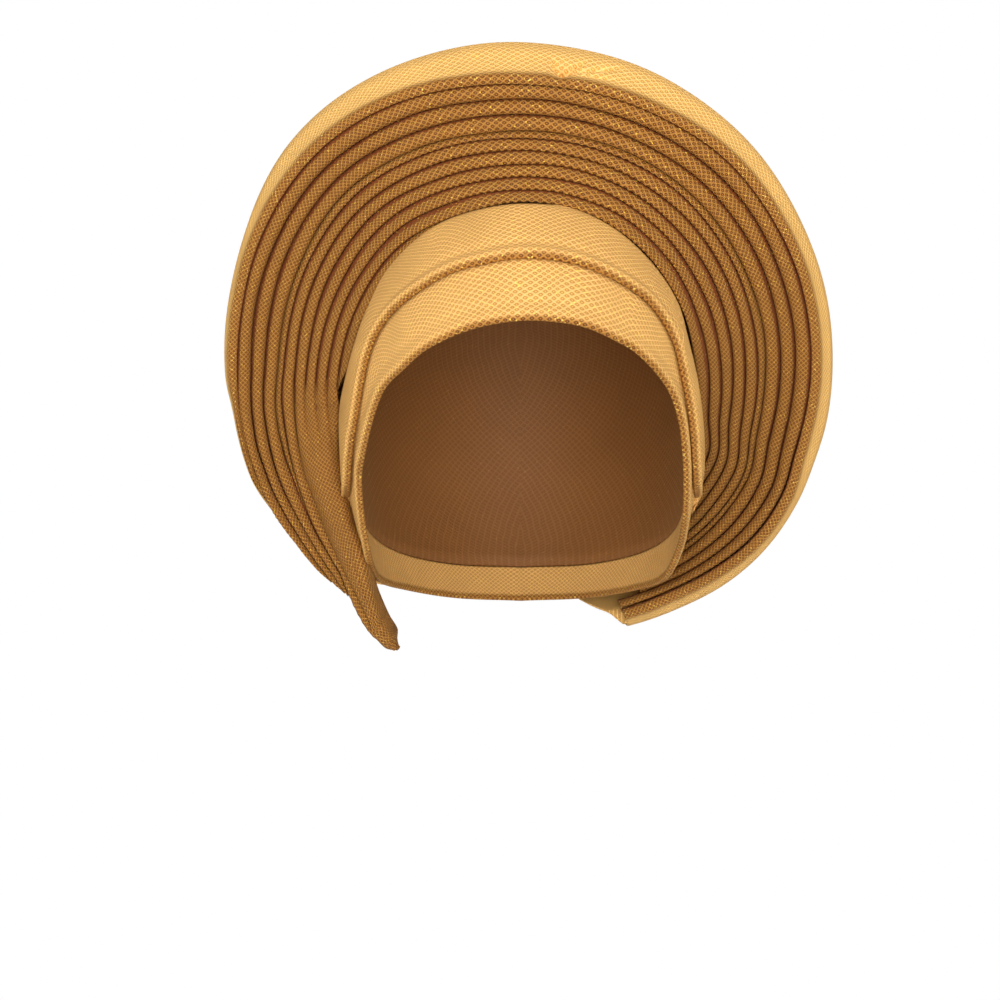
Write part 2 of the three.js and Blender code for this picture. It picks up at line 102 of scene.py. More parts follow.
# the same creases on the lower left, where they run together: turn, then the distance from the
# fan's centre as it shows from the front
leftCreases = {
    "outline": [
        (-151.3, 142.1), (-150, 141.5), (-147.5, 138.5), (-145, 135.0), (-143.5, 133.5),
        (-142, 133.3), (-140, 133.1), (-137.5, 133.0), (-135, 132.9), (-130, 132.4),
        (-125, 132.7), (-120, 133.3), (-115, 133.2), (-110, 132.7), (-105, 132.0), (-100, 131.1),
    ],
    "c1": [
        (-140, 133.1), (-137.5, 133.0), (-135, 132.9), (-130, 132.4), (-125, 132.5),
        (-122, 132.2), (-120, 131.6), (-115, 130.6), (-110, 129.6), (-105, 128.5), (-100, 127.4),
    ],
    "c2": [
        (-144, 133.7), (-143.2, 133.5), (-142, 133.2), (-140, 132.9), (-137.5, 131.9),
        (-135, 131.1), (-130, 129.7), (-125, 128.7), (-120, 127.6), (-115, 125.9),
        (-110, 124.6), (-105, 122.8), (-100, 121.7),
    ],
    "c3": [
        (-144, 133.6), (-143.2, 133.2), (-142, 132.2), (-140, 130.7), (-137.5, 129.4),
        (-135, 128.0), (-130, 125.5), (-125, 124.1), (-120, 122.9), (-115, 121.3),
        (-110, 119.3), (-105, 117.7), (-100, 116.5),
    ],
    "c4": [
        (-144, 133.3), (-142, 130.3), (-140, 127.7), (-137.5, 126.1), (-135, 124.6),
        (-130, 122.3), (-125, 119.4), (-120, 117.0), (-115, 115.3), (-110, 113.6),
        (-105, 112.2), (-100, 110.9),
    ],
    "c5": [
        (-151.3, 141.9), (-150, 141.2), (-147.5, 138.2), (-145, 134.7), (-143.5, 132.4),
        (-142, 130.2), (-140, 127.6), (-137.5, 126.0), (-135, 124.5), (-130, 122.2),
        (-125, 119.3), (-120, 116.5), (-115, 113.8), (-110, 111.2), (-105, 109.2), (-100, 107.9),
    ],
    "c6": [
        (-151.3, 141.2), (-150, 137.9), (-147.5, 133.9), (-145, 130.5), (-143.5, 128.8),
        (-142, 127.1), (-140, 125.0), (-137.5, 122.8), (-135, 120.6), (-130, 116.7),
        (-125, 113.6), (-120, 111.4), (-115, 108.8), (-110, 106.4), (-105, 104.3), (-100, 102.6),
    ],
}

# how far behind the hollow's centre the cloth stands there: turn, at c6, at the rim
leftBacks = np.array([
    (-157, -15.5, -12.0), (-154, -19.0, -15.0), (-150, -19.5, -16.0), (-147, -17.0, -14.0),
    (-145, -15.0, -11.0), (-142, -11.0, -7.0), (-140, -8.5, -5.0), (-135, -4.5, -3.2),
    (-130, -2.9, -3.7), (-100, -8.1, -12.1),
], float)


def smoothTable(keys, values, at):  # a smooth curve through a table's values
    keys = np.asarray(keys, float)
    values = np.asarray(values, float)
    at = np.clip(np.asarray(at, float), keys[0], keys[-1])
    last = len(keys) - 1
    i = np.clip(np.searchsorted(keys, at, side="left") - 1, 0, last - 1)
    after = np.minimum(np.arange(last + 1) + 1, last)
    before = np.maximum(np.arange(last + 1) - 1, 0)
    slopes = (values[after] - values[before]) / (keys[after] - keys[before])
    span = keys[i + 1] - keys[i]
    t = (at - keys[i]) / span
    t2 = t * t
    t3 = t2 * t
    return (
        (2 * t3 - 3 * t2 + 1) * values[i]
        + (t3 - 2 * t2 + t) * span * slopes[i]
        + (3 * t2 - 2 * t3) * values[i + 1]
        + (t3 - t2) * span * slopes[i + 1]
    )


def rise(low, high, at):  # a smooth step from 0 at low to 1 at high
    t = np.clip((np.asarray(at, float) - low) / (high - low), 0, 1)
    return t * t * (3 - 2 * t)


def waves(table, around, k=1):  # each row: height, waves in a radian, shift for each k
    return sum(height * np.sin(count * around + shift * k) for height, count, shift in table)


def hill(at, middle, width):  # a smooth hill of height 1
    return np.exp(-((at - middle) / width) ** 2)


def unit(v):
    return v / np.maximum(np.linalg.norm(v, axis=-1, keepdims=True), 1e-9)


def onHollow(turn, up, lift):  # the point at that turn and height, lifted off the hollow
    around = np.radians(turn)
    slope = np.radians(up)
    tall = np.where(np.asarray(up) > 0, hollow["crownRise"], hollow["napeDrop"]) + lift
    return np.stack(np.broadcast_arrays(
        (hollow["halfWidth"] + lift) * np.sin(around) * np.cos(slope),
        -(hollow["halfDepth"] + lift) * np.cos(around) * np.cos(slope),
        tall * np.sin(slope),
    ), axis=-1)


def hollowReach(direction, lift):  # how far out the lifted hollow is in that direction
    tall = np.where(direction[..., 2] > 0, hollow["crownRise"], hollow["napeDrop"]) + lift
    x = direction[..., 0] / (hollow["halfWidth"] + lift)
    y = direction[..., 1] / (hollow["halfDepth"] + lift)
    z = direction[..., 2] / tall
    return 1 / np.sqrt(x * x + y * y + z * z)


def ringAt(turns):
    ring = {
        name: smoothTable(ringTable[:, 0], ringTable[:, i + 1], turns)
        for i, name in enumerate(ringNames)
    }
    for name in ("outline", "rim", "inner"):
        ring[name] = ring[name] * fan["radius"]
    for name in ("rimBack", "innerBack"):
        ring[name] = ring[name] * hollow["halfDepth"]
    return ring


def backwards(turns):  # the line on which the folds run back from their crowns
    around = np.radians(turns)
    lean = ringAt(turns)["lean"]
    return unit(np.stack([lean * np.sin(around), np.ones_like(lean), lean * np.cos(around)], -1))


def asSeen(turns, reach, back):  # a point that shows at that distance from the fan's centre
    around = np.radians(turns)
    scale = 1 + np.asarray(back) / sight["distance"]
    x = fan["shift"] + reach * np.sin(around) - sight["x"]
    z = fan["rise"] + reach * np.cos(around) - sight["z"]
    return np.stack([sight["x"] + x * scale, back + 0 * x, sight["z"] + z * scale], -1)


def creaseLine(name, turns):  # a crease of the fan, or its outline, in space
    ring = ringAt(turns)
    around = np.radians(turns)
    share = creaseShares.get(name, 1.0)
    reach = ring["inner"] + share * (ring["rim"] - ring["inner"])
    if name == "outline":
        reach = ring["outline"]
    back = ring["innerBack"] + share * (ring["rimBack"] - ring["innerBack"])
    back = back + fan["dish"] * 4 * share * (1 - share)
    line = np.stack([
        fan["shift"] + reach * np.sin(around), back, fan["rise"] + reach * np.cos(around)
    ], -1)
    if name in leftCreases:
        table = np.array(leftCreases[name], float)
        atC6 = smoothTable(leftBacks[:, 0], leftBacks[:, 1], turns)
        atRim = smoothTable(leftBacks[:, 0], leftBacks[:, 2], turns)
        past = share - creaseShares["c6"]
        bow = 4 * np.clip(past, 0, 1) * (1 - share) / fan["leftBowSpan"]
        backLeft = atC6 + (atRim - atC6) * past / (1 - creaseShares["c6"]) + fan["leftBow"] * bow
        left = asSeen(turns, smoothTable(table[:, 0], table[:, 1], turns), backLeft)
        weight = rise(*fan["leftUntil"], turns)[..., None]
        line = left * (1 - weight) + line * weight
    k = list(creaseShares).index(name) if name in creaseShares else len(creaseShares) + 1
    stray = fan["wander"] * waves(fan["wanderWaves"], around, k) * rise(*fan["wanderFrom"], turns)
    line[..., 0] += stray * np.sin(around)
    line[..., 2] += stray * np.cos(around)
    return line


def pulled(turns):  # how much closer together the weave lies there
    return smoothTable(weave["pulledIn"][:, 0], weave["pulledIn"][:, 1], turns)


def pulledAcross(turns, share):  # the same across the cloth, where only a share of it shows
    return (1 - share + share * pulled(turns))[:, None]


def weaveRun(line, turns):  # the run along a line, longer where the weave is pulled in
    steps = np.linalg.norm(np.diff(line, axis=0), axis=-1) * pulled(turns[1:])
    return np.concatenate([[0], np.cumsum(steps)])


def withoutCreaseShade(across, turns, until):
    # on the lower left a fold's outer leg lies open, so its weave turns back before the painted
    # crease shade darkens it
    reach = weave["creaseFrom"] - weave["creaseMargin"]
    back = reach - np.abs((across + reach) % (4 * reach) - 2 * reach)
    return np.where((turns < until)[:, None], back, across)


def offset(outer, wall):  # the inner face of a cloth, a wall behind its outer face
    normal = np.cross(np.gradient(outer, axis=1), np.gradient(outer, axis=0))
    return outer + unit(normal) * wall


def clothPiece(name, rings, uvs, material, loop=False, backUvs=None, seam=0):
    # rings holds one closed section in each row, and uvs has one more column, and for a loop one
    # more row, so that the weave can close on itself; backUvs hold from seam to seam behind
    rows, size = rings.shape[:2]
    spans = rows if loop else rows - 1
    i, j = np.meshgrid(np.arange(spans), np.arange(size), indexing="ij")
    nextI = (i + 1) % rows
    nextJ = (j + 1) % size
    quads = np.stack([
        i * size + j, i * size + nextJ, nextI * size + nextJ, nextI * size + j
    ], -1).reshape(-1, 4)
    wide = size + 1
    corners = np.stack([
        i * wide + j, i * wide + j + 1, (i + 1) * wide + j + 1, (i + 1) * wide + j
    ], -1).reshape(-1, 4)
    flat = uvs.reshape(-1, 2)
    cornerUvs = flat[corners]
    if backUvs is not None:
        behind = ((j >= seam) & (j < size - 1 - seam)).reshape(-1)
        cornerUvs[behind] = backUvs.reshape(-1, 2)[corners[behind]]
    if not loop:
        half = size // 2
        k = np.arange(half - 1)
        near = np.stack([k + 1, k, size - 1 - k, size - 2 - k], -1)
        far = np.stack([k, k + 1, size - 2 - k, size - 1 - k], -1)
        quads = np.concatenate([quads, near, far + (rows - 1) * size])
        cornerUvs = np.concatenate([cornerUvs, flat[near], flat[far + (rows - 1) * wide]])
    points = rings.reshape(-1, 3)
    p = points[quads]
    volume = (p[:, 0] * (np.cross(p[:, 1], p[:, 2]) + np.cross(p[:, 2], p[:, 3]))).sum()
    if volume < 0:
        quads = quads[:, ::-1]
        cornerUvs = cornerUvs[:, ::-1]
    mesh = bpy.data.meshes.new(name)
    placed = (points - [0, 0, hollow["crownRise"]]) * mm
    mesh.from_pydata(placed.tolist(), [], quads.tolist())
    layer = mesh.uv_layers.new(name="weave")
    layer.data.foreach_set("uv", np.ascontiguousarray(cornerUvs).ravel())
    mesh.polygons.foreach_set("use_smooth", [True] * len(mesh.polygons))
    mesh.materials.append(material)
    mesh.update()
    piece = bpy.data.objects.new(name, mesh)
    bpy.context.scene.collection.objects.link(piece)
    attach(piece, "root")
    return piece


def closedSection(outer, inner, along, across):
    # one ring from the outer points and the inner points backwards, with its weave places
    rings = np.concatenate([outer, inner[:, ::-1]], axis=1)
    acrossRing = np.concatenate([across, across[:, ::-1], across[:, :1]], axis=1)
    alongRing = np.concatenate([along, along[:, ::-1], along[:, :1]], axis=1)
    return rings, np.stack([alongRing, acrossRing], -1)


def acrossLength(outer):  # how far across the cloth each point of a section is
    steps = np.linalg.norm(np.diff(outer, axis=1), axis=-1)
    return np.concatenate([np.zeros((len(outer), 1)), np.cumsum(steps, axis=1)], axis=1)


def aslant(sections, run):
    # how far each section has gone square to the run's direction, and along it
    steps = np.diff(sections, axis=1)
    slide = (steps * run[:, None]).sum(-1)
    climb = np.sqrt(np.maximum((steps ** 2).sum(-1) - slide ** 2, 0))
    zero = np.zeros((len(sections), 1))
    return [np.concatenate([zero, np.cumsum(part, axis=1)], axis=1) for part in (climb, slide)]


def declare(nodes):
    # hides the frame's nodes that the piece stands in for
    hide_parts(*nodes)


# Materials

def linearColour(code):  # from an sRGB hex code
    parts = [int(code[k:k + 2], 16) / 255 for k in (1, 3, 5)]
    return [c / 12.92 if c <= 0.04045 else ((c + 0.055) / 1.055) ** 2.4 for c in parts] + [1.0]


def addNode(tree, kind, settings=None, stops=None):
    # a setting that is another node's socket is linked, and any other is set
    node = tree.nodes.new(kind)
    for key, value in (settings or {}).items():
        if isinstance(value, bpy.types.NodeSocket):
            tree.links.new(value, node.inputs[key])
        elif isinstance(key, int) or key in node.inputs:
            node.inputs[key].default_value = value
        else:
            setattr(node, key, value)
    for k, (place, colour) in enumerate(stops or []):
        ramp = node.color_ramp.elements
        stop = ramp[k] if k < 2 else ramp.new(place)
        stop.position = place
        stop.color = linearColour(colour) if isinstance(colour, str) else [colour] * 3 + [1.0]
    return node


# Polyester jacquard with a metallic yellow weft, woven in a bird's-eye diaper: pale diamond
# frames stand up round a sunk ring with a lighter eye in its middle. The long floats give it a
# satin glow, and their single bright sparks are painted glints. Drawn over a fold it opens and
# shows its darker ground, which is also painted shade; deep creases get a painted red-brown shade.
weave = {
    "eyeSpacing": 3.5,  # along the cloth, mm
    "rowSpacing": 2.9,  # across it, between rows that aren't offset
    "threadWidth": 0.38,
    # size of the spots painted bright as glints, mm
    "sparkSize": 0.6,
    "creaseFrom": 3.7,  # where the painted crease shade starts, from the crown
    "creaseTo": 5.1,
    "creaseNearer": 1.3,  # where only the inner side gets the painted crease shade
    "creaseMargin": 0.2,  # an open leg's weave turns back this far before creaseFrom
    "creaseDepth": 0.9,  # how much of the painted crease shade shows deep in it
    "heights": (0.0, 0.36, 0.62, 1.0),  # of the sunk ring, the ground, the eye and the frame
    # painted shade: the dark red brown mixed into the colour deep in the creases
    "paintedCreaseShade": "#7A3208",
    # how much closer together the weave lies where the folds and the bands pull it in: turn, times
    "pulledIn": np.array([
        (-180, 1.6), (-100, 1.75), (-50, 1.7), (-22, 1.15), (0, 1.0), (30, 1.0), (55, 1.35),
        (80, 1.7), (180, 1.6),
    ], float),
    "relief": 0.00045,  # metres from the rings to the frames
    "threadRelief": 0.25,  # of the same, how far the single threads stand up
    "threadShade": (0.5, 0.68),  # how much the threads shade the colour, and its least lightness
    "patchShade": 0.16,
    "driftScale": 0.09,  # of the soft noise by which the rows stray
    "driftReach": (1.6, 1.3, 0),  # how far they stray along and across, mm
    "patchScale": 0.045,  # of the faint lighter and darker patches
    "roughness": 0.62,
    "sparkSmoother": -0.3,
    "sheenColour": "#FFD890",
}


def jacquard(name, openAndShadedColours, closedColours, paintedGlintColour, glintShare, opensTo, closedFrom,
             creaseSides=1, relief=1.0):
    # the colours run from the sunk ring by the ground and the eye to the frame, and the open ones
    # are partly painted shade of the folds; the glint share is the share of the threads' spots
    # painted bright as glints, and the two distances, in mm from the fold's crown, are where the
    # weave starts to close and has closed; the painted crease shade is on both sides of the crown
    # (1), on its inner side alone (-1) or on none (0)
    material = bpy.data.materials.new(name)
    material.use_nodes = True
    tree = material.node_tree
    tree.nodes.clear()
    place = addNode(tree, "ShaderNodeUVMap", {"uv_map": "weave"}).outputs["UV"]
    drift = addNode(tree, "ShaderNodeTexNoise", {
        "Vector": place, "Scale": weave["driftScale"], "Detail": 1.0})
    centred = addNode(tree, "ShaderNodeVectorMath", {
        "operation": "SUBTRACT", 0: drift.outputs["Color"], 1: (0.5, 0.5, 0.5)})
    moved = addNode(tree, "ShaderNodeVectorMath", {
        "operation": "MULTIPLY_ADD", 0: centred.outputs[0], 1: weave["driftReach"],
        2: place}).outputs[0]
    split = addNode(tree, "ShaderNodeSeparateXYZ", {0: moved})
    alongScaled = addNode(tree, "ShaderNodeMath", {
        "operation": "MULTIPLY", 0: split.outputs[0], 1: 2 / weave["eyeSpacing"]})
    acrossScaled = addNode(tree, "ShaderNodeMath", {
        "operation": "MULTIPLY", 0: split.outputs[1], 1: 2 / weave["rowSpacing"]})
    along = addNode(tree, "ShaderNodeMath", {
        "operation": "PINGPONG", 0: alongScaled.outputs[0], 1: 1.0}).outputs[0]
    across = addNode(tree, "ShaderNodeMath", {
        "operation": "PINGPONG", 0: acrossScaled.outputs[0], 1: 1.0}).outputs[0]
    # 0 in the middle of each diamond and 1 on its frame
    total = addNode(tree, "ShaderNodeMath", {"operation": "ADD", 0: along, 1: across})
    fromOne = addNode(tree, "ShaderNodeMath", {"operation": "SUBTRACT", 0: 1.0, 1: total.outputs[0]})
    size = addNode(tree, "ShaderNodeMath", {"operation": "ABSOLUTE", 0: fromOne.outputs[0]})
    diamond = addNode(tree, "ShaderNodeMath", {"operation": "SUBTRACT", 0: 1.0, 1: size.outputs[0]})
    # the same in circles, for the ring and the eye
    corner = addNode(tree, "ShaderNodeCombineXYZ", {0: along, 1: across})
    fromCorner = addNode(tree, "ShaderNodeVectorMath", {
        "operation": "DISTANCE", 0: corner.outputs[0], 1: (1.0, 1.0, 0.0)})
    fromStart = addNode(tree, "ShaderNodeVectorMath", {
        "operation": "LENGTH", 0: corner.outputs[0]})
    circle = addNode(tree, "ShaderNodeMath", {
        "operation": "MINIMUM", 0: fromStart.outputs["Value"], 1: fromCorner.outputs["Value"]})
    sunk = addNode(tree, "ShaderNodeValToRGB", {0: circle.outputs[0]}, [
        (0.0, 0.42), (0.13, 0.4), (0.27, 0.0), (0.42, 0.02), (0.56, 0.4), (1.0, 0.46)])
    raised = addNode(tree, "ShaderNodeMapRange", {
        "interpolation_type": "SMOOTHSTEP", "Value": diamond.outputs[0], "From Min": 0.5,
        "From Max": 1.0})
    height = addNode(tree, "ShaderNodeMath", {
        "operation": "MAXIMUM", 0: sunk.outputs["Color"], 1: raised.outputs[0]}).outputs[0]
    # the open colours are partly painted shade of the recessed folds; away from the crown they blend
    # to the closed ones
    openAndShadedWeave, closedWeave = [
        addNode(tree, "ShaderNodeValToRGB", {0: height}, list(zip(weave["heights"], colours)))
        for colours in (openAndShadedColours, closedColours)]
    fromCrown = addNode(tree, "ShaderNodeMath", {"operation": "ABSOLUTE", 0: split.outputs[1]})
    closing = addNode(tree, "ShaderNodeMapRange", {
        "interpolation_type": "SMOOTHSTEP", "Value": fromCrown.outputs[0], "From Min": opensTo,
        "From Max": closedFrom})
    woven = addNode(tree, "ShaderNodeMix", {
        "data_type": "RGBA", 0: closing.outputs[0], 6: openAndShadedWeave.outputs["Color"],
        7: closedWeave.outputs["Color"]})
    # painted shade: deep in a crease the light comes off gold cloth alone, so the colour is mixed to
    # a dark red brown there
    nearer = weave["creaseNearer"] if creaseSides == -1 else 0.0
    deepFrom, deepTo = weave["creaseFrom"] - nearer, weave["creaseTo"] - nearer
    deep = addNode(tree, "ShaderNodeMapRange", {
        "interpolation_type": "SMOOTHSTEP",
        "Value": split.outputs[1] if creaseSides == -1 else fromCrown.outputs[0],
        "From Min": -deepFrom if creaseSides == -1 else deepFrom,
        "From Max": -deepTo if creaseSides == -1 else deepTo,
        "To Max": weave["creaseDepth"] if creaseSides else 0.0})
    woven = addNode(tree, "ShaderNodeMix", {
        "data_type": "RGBA", 0: deep.outputs[0], 6: woven.outputs[2],
        7: linearColour(weave["paintedCreaseShade"])})

    threads = addNode(tree, "ShaderNodeTexNoise", {
        "Vector": moved, "Scale": 1 / weave["threadWidth"], "Detail": 2.0})
    patches = addNode(tree, "ShaderNodeTexNoise", {
        "Vector": place, "Scale": weave["patchScale"], "Detail": 2.0})
    fine = addNode(tree, "ShaderNodeMath", {
        "operation": "MULTIPLY_ADD", 0: threads.outputs[0], 1: weave["threadShade"][0],
        2: weave["threadShade"][1]})
    lightness = addNode(tree, "ShaderNodeMath", {
        "operation": "MULTIPLY_ADD", 0: patches.outputs[0], 1: weave["patchShade"],
        2: fine.outputs[0]})
    shaded = addNode(tree, "ShaderNodeMix", {
        "data_type": "RGBA", "blend_type": "MULTIPLY", 0: 1.0, 6: woven.outputs[2],
        7: lightness.outputs[0]})
    # painted glints: random spots on the raised weave get a bright yellow mixed into the colour;
    # their lower roughness is real
    glints = addNode(tree, "ShaderNodeTexVoronoi", {"Vector": moved, "Scale": 1 / weave["sparkSize"]})
    chance = addNode(tree, "ShaderNodeSeparateColor", {0: glints.outputs["Color"]})
    chosen = addNode(tree, "ShaderNodeMath", {
        "operation": "GREATER_THAN", 0: chance.outputs[0], 1: 1 - glintShare})
    spark = addNode(tree, "ShaderNodeMath", {
        "operation": "MULTIPLY", 0: chosen.outputs[0], 1: height}).outputs[0]
    coloured = addNode(tree, "ShaderNodeMix", {
        "data_type": "RGBA", 0: spark, 6: shaded.outputs[2], 7: linearColour(paintedGlintColour)})
    roughness = addNode(tree, "ShaderNodeMath", {
        "operation": "MULTIPLY_ADD", 0: spark, 1: weave["sparkSmoother"], 2: weave["roughness"]})

    grain = addNode(tree, "ShaderNodeMath", {
        "operation": "MULTIPLY_ADD", 0: threads.outputs[0], 1: weave["threadRelief"], 2: height})
    bump = addNode(tree, "ShaderNodeBump", {
        "Strength": 1.0, "Distance": weave["relief"] * relief, "Height": grain.outputs[0]})
    cloth = addNode(tree, "ShaderNodeBsdfPrincipled", {
        "Base Color": coloured.outputs[2], "Roughness": roughness.outputs[0],
        "Normal": bump.outputs[0], "Specular IOR Level": 0.3, "Sheen Weight": 0.1,
        "Sheen Roughness": 0.4, "Sheen Tint": linearColour(weave["sheenColour"]),
    })
    addNode(tree, "ShaderNodeOutputMaterial", {"Surface": cloth.outputs[0]})
    return material


# the open gold is partly the open weave's darker ground and partly painted shade of the recessed,
# overhung folds
openGoldWithShade = ("#5A2E0C", "#A66A20", "#B47626", "#B2803C")
# the closed gold is lightened in part as painted light, where the broad roll faces up to the lamps
closedGoldLit = ("#D49640", "#F4BE6A", "#FCC870", "#FCCE84")
bandGold = ("#BE8438", "#E6B064", "#F2BC6C", "#EEBE76")
# the wrong side's dull brown is darkened as painted shade of the hollow inside
wrongSideShaded = ("#7A4C20", "#805226", "#84562A", "#885A2E")
neverCloses = (90, 91)  # further from a crown than any of this cloth reaches
cloths = {
    # the jacquard drawn over tight folds: its brown ground opens between small gold eyes, darkened
    # further as painted shade, with painted crease shade on both sides of each crown
    "pleat_cloth": jacquard(
        "wovenPleatJacquard", openGoldWithShade, openGoldWithShade, "#FFD050", 0.025, *neverCloses),
    # the same laid doubled and smooth: away from the rolled edge the yellow floats close up to a
    # pale gold with a satin glow; by the rolled edge it keeps the open gold, partly painted shade
    "band_cloth": jacquard(
        "wovenBandJacquard", openGoldWithShade, bandGold, "#FFDC68", 0.06, 1.5, 4.5, 0, 0.7),
    # the same drawn over the rim: open and brown at the fold, partly painted shade, with painted
    # crease shade on its inner side; palest gold on the broad roll, in part painted light
    "drape_cloth": jacquard(
        "wovenDrapeJacquard", openGoldWithShade, closedGoldLit, "#FFDC68", 0.05, 1.5, 7.5, -1, 0.75),
    # the jacquard's wrong side, without the metallic floats: an even, dull brown, darkened as painted
    # shade of the hollow inside
    "inner_cloth": jacquard(
        "wovenWrongSideShaded", wrongSideShaded, wrongSideShaded, "#9A6C38", 0.01, *neverCloses, 0, 0.3),
}
# the pleats' cloth where it is gathered flat: open and brown, partly painted shade, with no painted
# crease shade
swathCloth = jacquard(
    "wovenSwathJacquard", openGoldWithShade, openGoldWithShade, "#FFD050", 0.02, *neverCloses, 0)
print("cloth materials made")

# Camera
cameraData = bpy.data.cameras.new("photoCamera")
cameraData.lens = sight["lens"]
cameraData.sensor_width = sight["sensor"]
cameraData.clip_end = 20
camera = bpy.data.objects.new("photoCamera", cameraData)
camera.location = (
    sight["x"] * mm, -sight["distance"] * mm, (sight["z"] - hollow["crownRise"]) * mm
)
camera.rotation_euler = (np.pi / 2, 0, 0)
bpy.context.scene.collection.objects.link(camera)
bpy.context.scene.camera = camera

# The folds of the fan

folds = {
    "depth": 13.0,
    "depthLimit": (3.0, 4.0),  # and no deeper than this, plus this many widths
    "crown": 3.3,  # how far the rounded crown rises over the crease beside it
    "crownLimit": 0.56,  # of the width
    "roundness": 0.55,
    "arcPoints": 13,
    "serration": 0.2,  # how far the weave's frames reach into the creases
    "insetLimit": 0.08,  # of the width
    "wall": 1.3,
    "wallLimit": 0.34,  # of the width
    "step": 0.5,  # degrees between sections
    "leanIn": 0.4,  # on the lower left the folds lean in behind their neighbours
    "leanUntil": (-126.0, -108.0),
    "openUntil": -119.0,  # and up to this turn their outer legs lie open
    "thinOver": (7.0, 18.0),  # degrees in which pleat_11 thins out at its start and its end
    "thinBy": 0.8,
    "thinSunk": 2.5,
    "swathEnd": -107.0,  # the folds that start here run on as the swath
    "swathOver": (-107.0, -101.0),
    "swathSunk": 0.9,
    "tailFrom": -145.0,  # a fold that starts before this turn runs on beside the tail
    "endOver": 3.0,
    "endSunk": 1.2,
    "weaveStep": 1.37,  # from fold to fold, so that their eyes don't line up
    "weavePulled": 0.5,
    "table": [  # name, inner crease, outer crease, first turn, last turn, tucked back by
        ("pleat_02", "c2", "c1", -140.0, 160.0, 0.0),
        ("pleat_03", "c3", "c2", -143.2, 154.9, 0.0),
        ("pleat_04", "c4", "c3", -144.0, 149.8, 0.0),
        ("pleat_05", "c5", "c4", -127.0, 144.7, 1.9),
        ("pleat_06", "c6", "c5", -151.3, 142.0, 0.0),
        ("pleat_07", "c7", "c6", -107.0, 139.0, 0.0),
        ("pleat_08", "c8", "c7", -107.0, 134.5, 0.0),
        ("pleat_09", "c9", "c8", -107.0, 129.5, 0.0),
        ("pleat_10", "c10", "c9", -107.0, 125.0, 0.0),
        ("pleat_11", "c11", "c10", -104.0, -36.0, 2.3),
    ],
}


legShares = np.array([1.0, 0.6, 0.25])  # where a leg has its points, from its end to the crown


def crownArc(share):  # how far a round crown falls back, 0 on its top and 1 at its creases
    return 1 - np.sin(np.pi * np.clip(share, 0, 1)) ** folds["roundness"]


def makeFold(index, name, innerCrease, outerCrease, first, last, tuck):
    turns = np.linspace(first, last, int((last - first) / folds["step"]) + 2)
    around = np.radians(turns)
    low = creaseLine(innerCrease, turns)
    high = creaseLine(outerCrease, turns)
    sunk = 0 * turns
    if name == "pleat_11":  # it thins out at both ends and runs in under the fold beside it
        fromStart = rise(first, first + folds["thinOver"][0], turns)
        toEnd = rise(last - folds["thinOver"][1], last, turns)
        thin = 1 - fromStart * (1 - toEnd)
        low = high + (low - high) * (1 - folds["thinBy"] * thin)[:, None]
        sunk = folds["thinSunk"] * thin
    elif first == folds["swathEnd"]:  # its start lies under the swath
        sunk = folds["swathSunk"] * (1 - rise(*folds["swathOver"], turns))
    elif first > folds["tailFrom"]:  # it runs out behind the fold inside it
        sunk = folds["endSunk"] * (1 - rise(first, first + folds["endOver"], turns))
    width = np.linalg.norm(high - low, axis=-1)
    run = weaveRun((low + high) / 2, turns) + folds["weaveStep"] * index
    teeth = folds["serration"] * np.cos(2 * np.pi * run / weave["eyeSpacing"])
    inset = np.minimum((fan["gap"] / 2 - teeth) / np.maximum(width, 0.01), folds["insetLimit"])
    crown = np.minimum(folds["crown"], folds["crownLimit"] * width)
    depth = np.minimum(folds["depth"], folds["depthLimit"][0] + folds["depthLimit"][1] * width)
    swell = fan["swell"] * waves(fan["swellWaves"], around, index)
    arc = 0.5 - 0.5 * np.cos(np.linspace(0, np.pi, folds["arcPoints"]))
    side = np.concatenate([legShares * 0, arc, legShares * 0 + 1])
    behind = np.concatenate([
        crown[:, None] + legShares * (depth - crown)[:, None],
        crown[:, None] * crownArc(arc),
        crown[:, None] + legShares[::-1] * (depth - crown)[:, None],
    ], axis=1)
    behind = behind + (tuck + swell + sunk)[:, None]
    share = inset[:, None] + side * (1 - 2 * inset[:, None])
    outer = low[:, None] + (high - low)[:, None] * share[..., None]
    radial = np.stack([np.sin(around), 0 * around, np.cos(around)], -1)
    leanIn = folds["leanIn"] * (1 - rise(*folds["leanUntil"], turns))[:, None]
    outer = outer + unit(backwards(turns) - radial * leanIn)[:, None] * behind[..., None]
    wall = np.minimum(folds["wall"], folds["wallLimit"] * width)[:, None, None]
    inner = offset(outer, wall)
    across = acrossLength(outer)
    top = outer.shape[1] // 2  # the middle of the crown
    across = (across - across[:, top:top + 1]) * pulledAcross(turns, folds["weavePulled"])
    across[:, top:] = withoutCreaseShade(across[:, top:], turns, folds["openUntil"])
    along = np.repeat(run[:, None], outer.shape[1], axis=1)
    rings, uvs = closedSection(outer, inner, along, across)
    piece = clothPiece("cloth_" + name, rings, uvs, cloths["pleat_cloth"])
    declare([name])


for foldIndex, row in enumerate(folds["table"]):
    makeFold(foldIndex, *row)
print("pleats made")

# The swath on the left, where the inner folds run out into one soft width, and its tail

